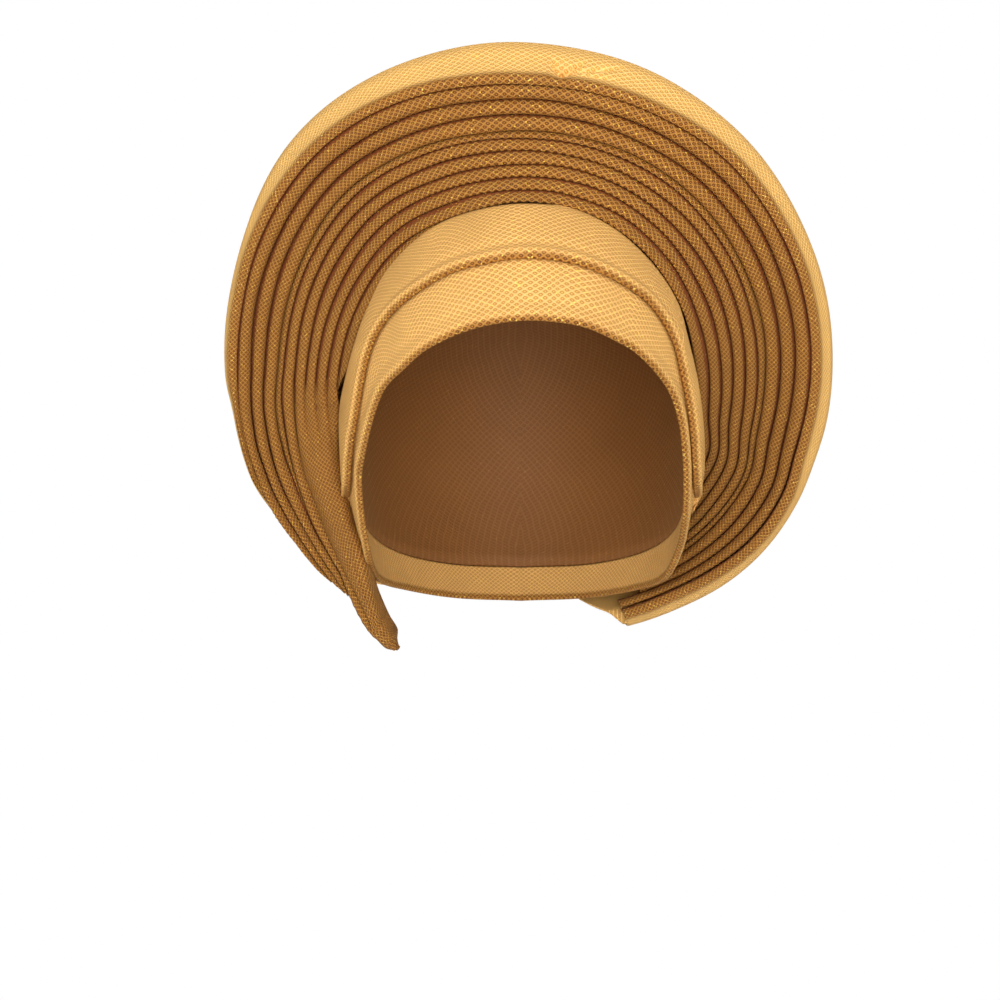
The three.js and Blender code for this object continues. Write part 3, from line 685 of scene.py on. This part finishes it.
swath = {
    "first": -156.7,
    "last": -100.0,
    "steps": 200,
    "across": 56,
    "joinOver": (-110.0, -101.0),  # its inner edge joins crease c10 over these turns
    "fade": (-122.0, -105.0),  # the folds' grooves run out over these turns
    "bow": 1.46,  # how far its middle lies back while it has the folds' grooves
    "bulge": 4.6,
    "bulgePower": 0.8,
    "innerRoll": 10.0,  # radius at its inner edge, by the bands
    "foldRoll": 3.0,  # and at the crease beside the folds
    "rollLimit": 0.45,  # of the width
    "crownLimit": 0.5,  # of a groove's width
    "uneven": 0.35,
    "unevenWaves": (9, 7),  # in a radian along it, and over its width
    "depth": 11.0,
    "depthLimit": (1.0, 1.2),  # and no deeper than this, plus this many widths
    "wall": 1.8,
    "wallLimit": 0.3,  # of the width
    "weaveAcross": 1.5,  # how much closer its weave lies across and along it
    "weaveAlong": 1.7,
    "edge": [  # inner edge: turn, distance as it shows, place in depth
        (-156.7, 141.3, -12.0), (-155.6, 138.0, -10.5), (-155, 134.4, -9.5), (-152.5, 130.5, -8.5),
        (-150, 126.3, -8.5), (-147.5, 122.1, -9.5), (-145, 117.6, -10.0), (-143, 114.0, -10.5),
        (-140, 109.6, -11.0), (-135, 105.7, -10.9), (-130, 100.6, -10.4), (-125, 95.8, -9.9),
        (-120, 91.7, -9.9), (-115, 88.3, -10.6), (-110, 86.0, -13.0), (-104, 83.6, -16.4),
        (-100, 82.0, -17.4),
    ],
    "tip": [  # outer edge below the folds
        (-156.7, 141.9), (-156.3, 142.6), (-155.5, 143.5), (-154.5, 143.9), (-153.5, 143.2),
        (-152.5, 142.3), (-151.3, 141.6),
    ],
    "tipUntil": (-147.0, -143.0),
    "grooves": [(2.2, 0.7), (5.0, 0.8)],  # by the tail: distance from the crease, depth
    "grooveUntil": (-144.0, -136.0),
    "grooveWidth": 0.75,
    "grooveReach": 0.35,  # of the width, at most
}


def makeSwath():
    turns = np.linspace(swath["first"], swath["last"], swath["steps"])
    edge = np.array(swath["edge"], float)
    inner = asSeen(
        turns,
        smoothTable(edge[:, 0], edge[:, 1], turns),
        smoothTable(edge[:, 0], edge[:, 2], turns),
    )
    join = rise(*swath["joinOver"], turns)[:, None]
    inner = inner * (1 - join) + creaseLine("c10", turns) * join
    tip = np.array(swath["tip"] + leftCreases["c6"][1:], float)
    tipLine = asSeen(
        turns,
        smoothTable(tip[:, 0], tip[:, 1], turns),
        smoothTable(leftBacks[:, 0], leftBacks[:, 1], turns),
    )
    useTip = (1 - rise(*swath["tipUntil"], turns))[:, None]
    outerEdge = creaseLine("c6", turns) * (1 - useTip) + tipLine * useTip
    width = np.linalg.norm(outerEdge - inner, axis=-1)[:, None]
    # shares of the way across, closer together at both edges
    q = np.cos(np.pi * np.linspace(0, 1, swath["across"])[None, :])
    q = 0.5 - 0.5 * q * (0.75 + 0.25 * q ** 2)
    fade = rise(*swath["fade"], turns)[:, None]
    smooth = 1 - fade
    # the four folds that end here
    marks = np.array([creaseShares[k] for k in ("c10", "c9", "c8", "c7", "c6")])
    marks = marks / creaseShares["c6"]
    cell = np.clip(np.searchsorted(marks, q[0], side="right") - 1, 0, len(marks) - 2)
    local = (q - marks[cell]) / (marks[cell + 1] - marks[cell])
    cellWidth = width * (marks[cell + 1] - marks[cell])
    crown = np.minimum(folds["crown"], swath["crownLimit"] * cellWidth)
    overFolds = folds["swathSunk"] * rise(*folds["swathOver"], turns)[:, None]
    behind = fade * crown * crownArc(local) + overFolds
    hump = 4 * q * (1 - q)
    bulge = swath["bulge"] * hump ** swath["bulgePower"]
    behind = behind + swath["bow"] * hump * fade - bulge * smooth
    fromEdge = q * width
    fromFold = (1 - q) * width
    for distance, radius in ((fromEdge, swath["innerRoll"]), (fromFold, swath["foldRoll"])):
        r = np.minimum(radius, swath["rollLimit"] * width)
        x = np.clip(1 - distance / np.maximum(r, 1e-3), 0, 1)
        behind = behind + smooth * r * (1 - np.sqrt(1 - x * x))
    lower = (1 - rise(*swath["grooveUntil"], turns))[:, None]
    for distance, depth in swath["grooves"]:
        reach = np.minimum(distance, swath["grooveReach"] * width)
        behind = behind + lower * depth * hill(fromFold, reach, swath["grooveWidth"])
    around = np.radians(turns)[:, None]
    wavesAlong, wavesAcross = swath["unevenWaves"]
    uneven = np.sin(wavesAlong * around + wavesAcross * q)
    behind = behind + smooth * swath["uneven"] * uneven
    front = inner[:, None] + (outerEdge - inner)[:, None] * q[..., None]
    back = backwards(turns)[:, None]
    front = front + back * behind[..., None]
    depth = np.minimum(swath["depth"], swath["depthLimit"][0] + swath["depthLimit"][1] * width)
    lowLegs = front[:, :1] + back * (legShares * depth)[..., None]
    highLegs = front[:, -1:] + back * (legShares[::-1] * depth)[..., None]
    outer = np.concatenate([lowLegs, front, highLegs], axis=1)
    wall = np.minimum(swath["wall"], swath["wallLimit"] * width)[..., None]
    innerFace = offset(outer, wall)
    # the weave runs along the folds, which lie aslant to the sections
    middle = outer.shape[1] * 2 // 3
    atFold = outer.shape[1] - len(legShares) - 1
    run = unit(np.gradient(outer[:, middle], axis=0))
    climb, slide = aslant(outer, run)
    across = (climb - climb[:, atFold:atFold + 1]) * swath["weaveAcross"]
    shift = (slide - slide[:, middle:middle + 1]) * swath["weaveAlong"]
    along = weaveRun(outer[:, middle], turns)[:, None] + shift
    rings, uvs = closedSection(outer, innerFace, along, across)
    piece = clothPiece("cloth_swath_tail", rings, uvs, swathCloth)
    declare(["swath_left", "tail_left"])


makeSwath()
print("swath and tail made")

# The two bands

bands = {
    "wall": 2.4,
    "layerGap": 0.6,
    "lowerSteps": 420,
    "upperSteps": 360,
    "across": 30,
    "denser": 1.35,  # how much closer the sections' points lie towards the folded edge
    "arcPoints": 8,
    # turn and height of its folded edge at the front, and the same of its top edge, in degrees
    # from the front and over the hollow's widest level
    "lower": np.array([
        (-180, -42, -180, -33), (-150, -41, -150, -32), (-120, -38, -120, -28),
        (-95, -35, -99, -22), (-82, -31, -92, -17), (-75, -26, -88.5, -12), (-70, -18, -86, -6),
        (-66.5, -11, -83.5, 0), (-60.5, -4.5, -80, 8), (-56, 1.0, -75, 16), (-50.5, 8, -67, 25),
        (-41.5, 13, -54, 33), (-34, 17, -42, 39), (-23, 20.6, -27, 43), (-12.5, 22.8, -14, 45.3),
        (0, 24, 0, 46), (12, 23.6, 13.5, 45.6), (21.5, 22.4, 25, 44), (32.5, 19.2, 39, 41),
        (39, 17, 48, 37.5), (49, 11.5, 62, 29), (55, 7, 71, 21), (60, 0.5, 78, 11),
        (63.5, -6, 82, 3), (68.5, -14, 85.5, -5), (75, -21, 89, -11), (85, -28, 94, -16),
        (95, -34, 101, -22), (120, -38, 121, -28), (150, -41, 150, -32), (180, -42, 180, -33),
    ], float),
    # place along the band; where its folded lower edge and its top edge show from the front,
    # right of and above the hollow's centre
    "upper": np.array([
        (0, -75.4, -38.5, -75.8, -37.6), (0.04, -74.6, -25.2, -77.6, -24.0),
        (0.08, -73.7, -10.8, -78.7, -7.7), (0.14, -71.0, 6.5, -78.9, 9.5),
        (0.20, -67.9, 24.5, -75.7, 24.1), (0.235, -64.9, 35.7, -72.2, 36.1),
        (0.28, -58.5, 47.3, -67.1, 51.2), (0.325, -48.2, 57.2, -57.6, 71.0),
        (0.39, -31.0, 67.5, -39.6, 86.4), (0.44, -15.9, 71.6, -20.2, 94.2),
        (0.495, -0.9, 74.0, 0.0, 97.4), (0.55, 16.3, 72.9, 20.6, 95.0),
        (0.61, 33.5, 67.9, 40.0, 86.9), (0.675, 50.7, 58.0, 55.0, 73.5),
        (0.715, 59.3, 49.0, 62.8, 63.6), (0.755, 65.4, 37.6, 67.9, 53.8),
        (0.80, 68.4, 25.8, 70.5, 43.9), (0.86, 72.2, 6.5, 76.5, 17.2),
        (0.94, 74.2, -17.2, 78.9, -12.9), (1, 75.0, -38.8, 75.5, -38.0),
    ], float),
    # how far the upper band runs on under the folds: turn, distance
    "underFolds": np.array([
        (-90, 3.0), (-80, 8.0), (-60, 6.0), (-30, 2.5), (0, 1.5), (15, 2.5), (30, 7.0),
        (60, 8.0), (90, 4.0),
    ], float),
    "rollHeight": 1.4,  # how far the folded edge stands up
    "lowerRollHeight": 0.8,
    "rollWidth": 5.5,
    "rollPuff": (0.5, 0.42),  # its middle and its spread, in roll widths
    "rollDip": (0.35, 1.5, 0.3),  # the dip beside it: share of the roll's height, middle, spread
    "frontStart": (1.3, 0.3),  # radii of the folded edge, and at most this share of the width
    "leastWidth": 4.0,
    "topDrop": 1.2,  # how far the upper band's top sinks where it runs under the folds
    "topDropOver": (0.9, 1.2),  # shares of the way up
    "dive": 3.3,  # how far its ends sink into the lower band
    "diveOver": 0.045,  # of its length
    "evenOver": 33,  # sections over which its top edge is evened out
    "weavePulled": 0.6,
    "weaveStart": 0.6,
}


def bandRings(edgeTurn, edgeUp, topTurn, topUp, lift, loop, rollHeight, topShare, topDrop):
    wall = bands["wall"]
    radius = wall / 2
    lift = lift + 0 * edgeTurn
    edge = onHollow(edgeTurn, edgeUp, lift + radius)
    top = onHollow(topTurn, topUp, lift + radius)
    width = np.linalg.norm(top - edge, axis=-1)[:, None]
    start = np.minimum(bands["frontStart"][0] * radius / width, bands["frontStart"][1])
    even = np.linspace(0, 1, bands["across"])[None, :]
    share = start + (topShare - start) * even ** bands["denser"]
    turn = edgeTurn[:, None] + (topTurn - edgeTurn)[:, None] * share
    up = edgeUp[:, None] + (topUp - edgeUp)[:, None] * share
    away = share * width
    # the fold's soft roll, the shallow dip beside it, and the top edge sinking away
    roll = bands["rollWidth"]
    middle, spread = bands["rollPuff"]
    puff = rollHeight * hill(away, middle * roll, spread * roll)
    dipHeight, middle, spread = bands["rollDip"]
    dip = dipHeight * rollHeight * hill(away, middle * roll, spread * roll)
    sink = topDrop * rise(*bands["topDropOver"], share)
    front = onHollow(turn, up, lift[:, None] + wall + puff - dip - sink)
    back = onHollow(turn, up, lift[:, None] + 0 * share)
    if loop:
        run = (np.roll(edge, -1, axis=0) - np.roll(edge, 1, axis=0)) / 2
    else:
        run = np.gradient(edge, axis=0)
    run = unit(run)
    further = onHollow(edgeTurn, edgeUp, lift + wall)
    normal = unit(further - onHollow(edgeTurn, edgeUp, lift))
    inwards = unit(front[:, 0] - edge)
    inwards = unit(inwards - run * (inwards * run).sum(-1, keepdims=True))
    inwards = unit(inwards - normal * (inwards * normal).sum(-1, keepdims=True))
    angles = np.linspace(np.pi / 2, -np.pi / 2, bands["arcPoints"])
    arc = (
        (edge + inwards * radius)[:, None]
        - inwards[:, None] * (radius * np.cos(angles))[None, :, None]
        + normal[:, None] * (radius * np.sin(angles))[None, :, None]
    )
    rings = np.concatenate([front[:, ::-1], arc, back], axis=1)
    # the weave runs along the folded edge
    frontArc = arc[:, :bands["arcPoints"] // 2]
    climb, slide = aslant(np.concatenate([front[:, ::-1], frontArc], axis=1)[:, ::-1], run)
    along = weaveRun(edge, edgeTurn)[:, None] + slide[:, ::-1] * pulled(edgeTurn)[:, None]
    across = climb[:, ::-1] * pulledAcross(edgeTurn, bands["weavePulled"])
    acrossRing = np.concatenate([across, -across[:, ::-1], across[:, :1]], axis=1)
    alongRing = np.concatenate([along, along[:, ::-1], along[:, :1]], axis=1)
    uvs = np.stack([alongRing, acrossRing + bands["weaveStart"]], -1)
    if loop:
        closing = uvs[:1].copy()
        lastStep = pulled(edgeTurn[0]) * np.linalg.norm(edge[0] - edge[-1])
        closing[..., 0] += weaveRun(edge, edgeTurn)[-1] + lastStep
        uvs = np.concatenate([uvs, closing])
    return rings, uvs, front


def makeLowerBand():
    table = bands["lower"]
    turns = np.linspace(-180, 180, bands["lowerSteps"] + 1)[:-1]
    edgeUp, topTurn, topUp = [smoothTable(table[:, 0], table[:, k], turns) for k in (1, 2, 3)]
    rings, uvs, front = bandRings(
        turns, edgeUp, topTurn, topUp, 0.0, True, bands["lowerRollHeight"], 1.0, 0.0
    )
    piece = clothPiece("cloth_band_lower", rings, uvs, cloths["band_cloth"], loop=True)
    declare(["band_lower"])


def onHollowAsSeen(x, z, lift):
    # turn and height of the point of the lifted hollow that shows there, or of its rim beyond it
    tall = np.where(z > 0, hollow["crownRise"], hollow["napeDrop"]) + lift
    wide, deep = hollow["halfWidth"] + lift, hollow["halfDepth"] + lift
    half = np.stack(np.broadcast_arrays(wide, deep, tall), -1)
    eye = np.array([sight["x"], -sight["distance"], sight["z"]])
    ray = np.stack(np.broadcast_arrays(x, 0.0, z), -1) - eye
    start = eye / half
    ray = ray / half
    a = (ray * ray).sum(-1)
    b = (start * ray).sum(-1)
    c = (start * start).sum(-1) - 1
    near = (-b - np.sqrt(np.maximum(b * b - a * c, 0))) / a
    point = unit(start + ray * near[..., None])
    turn = np.arctan2(point[..., 0], -point[..., 1])
    return np.degrees(turn), np.degrees(np.arcsin(point[..., 2]))


def evened(values, count):  # each value as a soft mean of so many round it
    window = np.hanning(count) / np.hanning(count).sum()
    return np.convolve(np.pad(values, count // 2, mode="edge"), window, mode="valid")


def makeUpperBand():
    table = bands["upper"]
    at = np.linspace(0, 1, bands["upperSteps"])
    edgeX, edgeZ, topX, topZ = [smoothTable(table[:, 0], table[:, k], at) for k in range(1, 5)]
    # both ends dive into the lower band
    over = bands["diveOver"]
    onTop = rise(0, over, at) * (1 - rise(1 - over, 1, at))
    lift = bands["wall"] + bands["layerGap"] - bands["dive"] * (1 - onTop)
    edgeTurn, edgeUp = onHollowAsSeen(edgeX, edgeZ, lift + bands["wall"] / 2)
    topTurn, topUp = onHollowAsSeen(topX, topZ, lift + bands["wall"])
    # near the hollow's rim a line as seen says little of its turn, so that is evened out
    topTurn = evened(topTurn, bands["evenOver"])
    topUp = evened(topUp, bands["evenOver"])
    under = smoothTable(bands["underFolds"][:, 0], bands["underFolds"][:, 1], topTurn)
    reach = onHollow(topTurn, topUp, 0) - onHollow(edgeTurn, edgeUp, 0)
    under = (under / np.maximum(np.linalg.norm(reach, axis=-1), bands["leastWidth"]))[:, None]
    rings, uvs, front = bandRings(
        edgeTurn, edgeUp, topTurn, topUp, lift, False, bands["rollHeight"], 1 + under,
        bands["topDrop"]
    )
    piece = clothPiece("cloth_band_upper", rings, uvs, cloths["band_cloth"])
    declare(["band_upper"])


makeLowerBand()
makeUpperBand()
print("bands made")

# The crown, the plain wrap under it all

crownWrap = {
    "wall": 2.0,
    "steps": 240,
    "across": 40,
    "hemGap": 0.46,  # degrees between it and the lower band's top edge
    "topUp": 89.4,  # just short of the top, which its last ring closes
    "weaveRadius": 86,
    "weaveUp": 80,  # above this height the weave draws together no more
}


def makeCrown():
    table = bands["lower"]
    turns = np.linspace(-180, 180, crownWrap["steps"] + 1)[:-1]
    edge = smoothTable(table[:, 2], table[:, 3], turns) + crownWrap["hemGap"]
    share = np.linspace(0, 1, crownWrap["across"])[None, :]
    up = edge[:, None] + (crownWrap["topUp"] - edge[:, None]) * share
    outer = onHollow(turns[:, None], up, crownWrap["wall"])
    inner = onHollow(turns[:, None], up, 0.0)
    weaveRadius = crownWrap["weaveRadius"] * np.cos(np.radians(np.minimum(up, crownWrap["weaveUp"])))
    along = np.radians(turns)[:, None] * weaveRadius
    rings, uvs = closedSection(outer, inner, along, acrossLength(outer))
    # the last column of the weave is the first one, a whole turn further on
    closing = uvs[:1].copy()
    once = weaveRadius[0]
    closing[..., 0] += 2 * np.pi * np.concatenate([once, once[::-1], once[:1]])
    uvs = np.concatenate([uvs, closing])
    piece = clothPiece("cloth_crown_wrap", rings, uvs, cloths["inner_cloth"], loop=True)
    declare(["crown_wrap"])


makeCrown()
print("crown made")

# The outermost fold and the smooth cloth that rolls over it to the back

drape = {
    "first": -134.0,
    "last": 160.0,
    "fineTo": 17.0,  # from the top to this turn its sections lie closer, for the tack
    "steps": (184, 80, 196),
    "freeOver": (-124.0, -115.0),  # before these turns the fold beside it covers the rim
    "coveredIn": 3.0,  # how far it lies inwards there, draws its rim in and stands back
    "coveredRim": 0.9,
    "coveredBack": 7.0,
    "gapMore": 0.3,
    "gapOver": (-100.0, -90.0),
    "foldWidth": 5.6,
    "foldDepth": 13.0,
    "depthLimit": (3.0, 2.2),  # and no deeper than this, plus this many widths of the roll
    "crown": 3.2,
    "crownLimit": 1.3,  # of the fold's width
    "leanOver": (-104.0, -92.0),
    "bulgeLeast": 0.8,
    "swellWaves": [(0.25, 3.3, 0.4), (0.15, 8.1, 0.0)],
    "backLegs": 3,  # points of the profile that run back as the folds do
    # from the end of the leg over the fold and round the roll: outwards as shares of the fold's
    # width and of the roll's; backwards as shares of the leg, the crown and the roll, and more
    "profile": [
        (0, 0, 1, 0, 0, 0), (0, 0, 0.5, 0, 0, 0), (0, 0, 0, 1, 0, 0), (0.1, 0, 0, 0.45, 0, 0),
        (0.3, 0, 0, 0.08, 0, 0), (0.5, 0, 0, 0, 0, 0), (0.72, 0, 0, 0.12, 0, 0),
        (0.9, 0, 0, 0.5, 0, 0), (1, 0.1, 0, 1.05, 0.1, 0), (1, 0.4, 0, 1.25, 0.3, 0.9),
        (1, 0.73, 0, 1.2, 0.52, 2.4), (1, 0.93, 0, 1.2, 0.7, 4.8),
    ],
    "widest": (1.2, 0.85, 8.6),  # the crown's and the roll's shares behind it, and more
    "wall": 1.4,
    "ease": 5.3,  # lift over the hollow where its hems lie
    "napeTurn": 178.0,  # where it all draws together at the nape
    "napeUp": -31.0,
    "fullness": 1.25,  # over 1 the back stays full and under 1 it draws in early
    "hemEasing": 0.65,  # the same at its two hems
    "hemReach": 26.0,  # degrees from a hem to the full back
    "backRings": 12,
    "parts": [3] * 7 + [8] * 3 + [3] * 14,  # of the curve between the profile's points
    "gathers": 1.6,  # height of the soft gathers that run to the nape
    "gatherWaves": [(1.0, 17, 0.0), (0.5, 29, 1.0)],
    "gatherSunk": 0.6,
    "gatherFrom": (0.25, 0.8),  # shares of the way from the rim to the nape
    "gatherTo": (0.86, 1.0),
    "backDip": (1.6, 0.13, 0.12),  # just behind the rim: depth, share of the way, width
    "weavePulled": 0.5,
    "openUntil": -116.0,  # up to this turn the leg lies open
    "rowsAway": 200,  # the back's weave lies this many rows away from a crown's
    "tackTurn": 6.4,  # a hidden stitch catches the roll here
    "tackOut": 7.6,
    "tackDepth": 2.4,
    "tackWidth": 3.4,
    "tackDrop": 0.5,  # how far it draws down for each mm that it draws back
    "tackBelow": 8.0,  # it draws nothing further down than this, and fully after the fade
    "tackFade": 6.0,
    "creaseWidth": 0.75,
    "creaseStart": (-0.5, 1.0),  # a crease deepens from the first to the second distance
    "creaseFade": 0.5,  # and runs out over the rest of its length from this share on
    "tackCreases": [  # the small creases it draws: tilt in degrees, length, depth
        (-2, 30, 0.9), (12, 32, 1.5), (30, 13, 1.9), (95, 6, 0.8), (125, 9, 1.3), (150, 8, 1.1),
    ],
}


def catmullRom(points, allParts):
    # a smooth curve through the points of each row, with so many parts between each two
    before = np.concatenate([2 * points[:, :1] - points[:, 1:2], points[:, :-1]], axis=1)
    after = np.concatenate([points[:, 1:], 2 * points[:, -1:] - points[:, -2:-1]], axis=1)
    slope = (after - before) / 2
    result = []
    for k in range(points.shape[1] - 1):
        for t in np.arange(allParts[k]) / allParts[k]:
            t2, t3 = t * t, t * t * t
            result.append(
                (2 * t3 - 3 * t2 + 1) * points[:, k] + (t3 - 2 * t2 + t) * slope[:, k]
                + (3 * t2 - 2 * t3) * points[:, k + 1] + (t3 - t2) * slope[:, k + 1]
            )
    result.append(points[:, -1])
    return np.stack(result, axis=1)


def makeDrape():
    spans = (drape["first"], 0, drape["fineTo"], drape["last"])
    turns = np.unique(np.concatenate([
        np.linspace(spans[k], spans[k + 1], count) for k, count in enumerate(drape["steps"])
    ]))
    around = np.radians(turns)
    covered = 1 - rise(*drape["freeOver"], turns)
    radial = np.stack([np.sin(around), 0 * around, np.cos(around)], -1)
    gap = fan["gap"] / 2 + drape["gapMore"] * rise(*drape["gapOver"], turns)
    low = creaseLine("c1", turns) + radial * (gap - drape["coveredIn"] * covered)[:, None]
    edge = creaseLine("outline", turns) - radial * (drape["coveredRim"] * covered)[:, None]
    edge[:, 1] = 0
    base = low.copy()
    base[:, 1] = 0
    outwards = unit(edge - base)
    full = (outwards * (edge - base)).sum(-1)
    low[:, 1] += drape["coveredBack"] * covered
    width = np.clip(full - drape["wall"], 1.0, drape["foldWidth"])
    crown = np.minimum(drape["crown"], drape["crownLimit"] * width)
    bulge = np.maximum(full - width, drape["bulgeLeast"])
    # where the fold is narrow its leg leans in, so that it stays inside the roll
    leanIn = folds["leanIn"] * (1 - rise(*drape["leanOver"], turns))[:, None]
    backDirection = unit(backwards(turns) - radial * leanIn)
    leg = np.minimum(drape["foldDepth"], drape["depthLimit"][0] + drape["depthLimit"][1] * full)
    straight = np.array([0.0, 1.0, 0.0])
    swell = waves(drape["swellWaves"], around)
    points = []
    for k, (ofWidth, ofBulge, ofLeg, ofCrown, bulgeBack, more) in enumerate(drape["profile"]):
        out = ofWidth * width + ofBulge * bulge
        behind = ofLeg * leg + ofCrown * crown + bulgeBack * bulge + more + swell
        direction = backDirection if k < drape["backLegs"] else straight
        points.append(low + outwards * out[:, None] + direction * behind[:, None])
    ofCrown, ofBulge, more = drape["widest"]
    widest = low + outwards * full[:, None]
    widest = widest + straight * (ofCrown * crown + ofBulge * bulge + more)[:, None]
    points.append(widest)
    nape = onHollow(drape["napeTurn"], drape["napeUp"], drape["ease"])
    napeReach = float(np.linalg.norm(nape))
    napeDirection = nape / napeReach
    start = unit(widest)
    reach = np.linalg.norm(widest, axis=-1)
    hem = np.minimum(np.minimum(turns - drape["first"], drape["last"] - turns), drape["hemReach"])
    hem = hem / drape["hemReach"]
    easing = drape["hemEasing"] + (drape["fullness"] - drape["hemEasing"]) * hem
    swing = np.arccos(np.clip(start @ napeDirection, -1, 1))
    gatherWave = waves(drape["gatherWaves"], around) - drape["gatherSunk"]
    dipDepth, dipAt, dipWidth = drape["backDip"]
    for k in range(drape["backRings"]):
        t = (k + 1) / drape["backRings"]
        a = np.sin((1 - t) * swing) / np.sin(swing)
        b = np.sin(t * swing) / np.sin(swing)
        direction = unit(start * a[:, None] + napeDirection * b[:, None])
        eased = reach + (napeReach - reach) * t ** easing
        gather = drape["gathers"] * rise(*drape["gatherFrom"], t)
        gather = gather * (1 - rise(*drape["gatherTo"], t)) * hem
        eased = eased + gather * gatherWave
        eased = eased - dipDepth * hill(t, dipAt, dipWidth)
        points.append(direction * np.maximum(eased, hollowReach(direction, drape["ease"]))[:, None])
    outer = catmullRom(np.stack(points, axis=1), drape["parts"])

    # the weave follows the cloth as it lies before the tack dents it
    foldTop = sum(drape["parts"][:5])
    onRoll = sum(drape["parts"][:7]) + 3
    seam = sum(drape["parts"][:14])
    runAlong = weaveRun(outer[:, onRoll], turns)
    across = acrossLength(outer)
    # the tack on the top of the roll, with the small creases that it draws
    tackAround = np.radians(drape["tackTurn"])
    where = np.argmin(np.abs(turns - drape["tackTurn"]))
    tack = low[where] + outwards[where] * drape["tackOut"]
    x = outer[..., 0] - tack[0]
    z = outer[..., 2] - tack[2]
    front = rise(0, drape["tackFade"], z + drape["tackBelow"]) * (outer[..., 1] < 0)
    dent = drape["tackDepth"] * np.exp(-(x * x + z * z) / drape["tackWidth"] ** 2)
    for tiltDegrees, length, depth in drape["tackCreases"]:
        tilt = np.radians(tiltDegrees) - tackAround
        run = x * np.cos(tilt) + z * np.sin(tilt)
        side = -x * np.sin(tilt) + z * np.cos(tilt)
        deepens = rise(*drape["creaseStart"], run)
        fades = rise(drape["creaseFade"] * length, length, run)
        dent = dent + depth * hill(side, 0, drape["creaseWidth"]) * deepens * (1 - fades)
    outer[..., 1] += dent * front
    outer[..., 2] -= drape["tackDrop"] * dent * front

    inner = offset(outer, drape["wall"])
    inner[:, -1] = napeDirection * (napeReach - drape["wall"])
    across = across - across[:, foldTop:foldTop + 1]
    across = across * pulledAcross(turns, drape["weavePulled"])
    inside = slice(0, foldTop + 1)
    across[:, inside] = withoutCreaseShade(across[:, inside], turns, drape["openUntil"])
    along = np.repeat(runAlong[:, None], outer.shape[1], axis=1)
    rings, uvs = closedSection(outer, inner, along, across)
    # behind the rim the weave lies flat across the back
    depthAway = across - across[:, seam:seam + 1]
    total = depthAway[:, -1:]
    spread = 1 - depthAway / total
    polar = np.stack([
        np.sin(around)[:, None] * spread * total.mean(),
        np.cos(around)[:, None] * spread * total.mean() + drape["rowsAway"] * weave["rowSpacing"],
    ], -1)
    backRing = np.concatenate([polar, polar[:, ::-1], polar[:, :1]], axis=1)
    piece = clothPiece(
        "cloth_outer_drape", rings, uvs, cloths["drape_cloth"], backUvs=backRing, seam=seam
    )
    declare(["outer_drape"])


makeDrape()
print("drape made")

# Studio: a pale floor, a pale surround and soft light from above and in front

studio = {
    "floor": -0.62,
    "floorReach": 1.3,
    "floorColour": "#F4F2EE",
    "floorRoughness": 0.9,
    "surround": 0.29,
    "surroundTint": (1.0, 0.98, 0.95, 1),  # linear
    "aim": (0, 0, -0.05),
    "lights": [  # name, place, size, power
        ("softTop", (0.0, -0.85, 0.95), 0.7, 5.5),
        ("softFront", (0.1, -1.6, 0.0), 0.9, 19.0),
        ("softRight", (1.2, -0.5, 0.1), 0.8, 3.5),
        ("softLeft", (-1.2, -0.9, 0.0), 0.8, 6.0),
    ],
}


def makeStudio():
    world = bpy.data.worlds.new("paleSurround")
    bpy.context.scene.world = world
    world.use_nodes = True
    tree = world.node_tree
    tree.nodes.clear()
    path = addNode(tree, "ShaderNodeLightPath")
    shown = addNode(tree, "ShaderNodeBackground", {"Strength": 1.0, "Color": (1, 1, 1, 1)})
    lighting = addNode(tree, "ShaderNodeBackground", {
        "Strength": studio["surround"], "Color": studio["surroundTint"]
    })
    mixed = addNode(tree, "ShaderNodeMixShader", {
        0: path.outputs["Is Camera Ray"], 1: lighting.outputs[0], 2: shown.outputs[0]
    })
    addNode(tree, "ShaderNodeOutputWorld", {"Surface": mixed.outputs[0]})
    for name, place, size, power in studio["lights"]:
        data = bpy.data.lights.new(name, "AREA")
        data.shape = "DISK"
        data.size = size
        data.energy = power
        light = bpy.data.objects.new(name, data)
        light.location = place
        aim = Vector(studio["aim"]) - Vector(place)
        light.rotation_euler = aim.to_track_quat("-Z", "Y").to_euler()
        bpy.context.scene.collection.objects.link(light)
    # a roll of matt paper: without gloss, so the floor looks even
    paper = bpy.data.materials.new("mattPaper")
    paper.use_nodes = True
    inputs = paper.node_tree.nodes["Principled BSDF"].inputs
    inputs["Base Color"].default_value = linearColour(studio["floorColour"])
    inputs["Roughness"].default_value = studio["floorRoughness"]
    mesh = bpy.data.meshes.new("floor")
    w, z = studio["floorReach"], studio["floor"]
    mesh.from_pydata([(-w, -w, z), (w, -w, z), (w, w, z), (-w, w, z)], [], [(0, 1, 2, 3)])
    mesh.materials.append(paper)
    floor = bpy.data.objects.new("floor", mesh)
    bpy.context.scene.collection.objects.link(floor)


makeStudio()
bpy.context.scene.view_settings.view_transform = "Standard"
print("studio made")
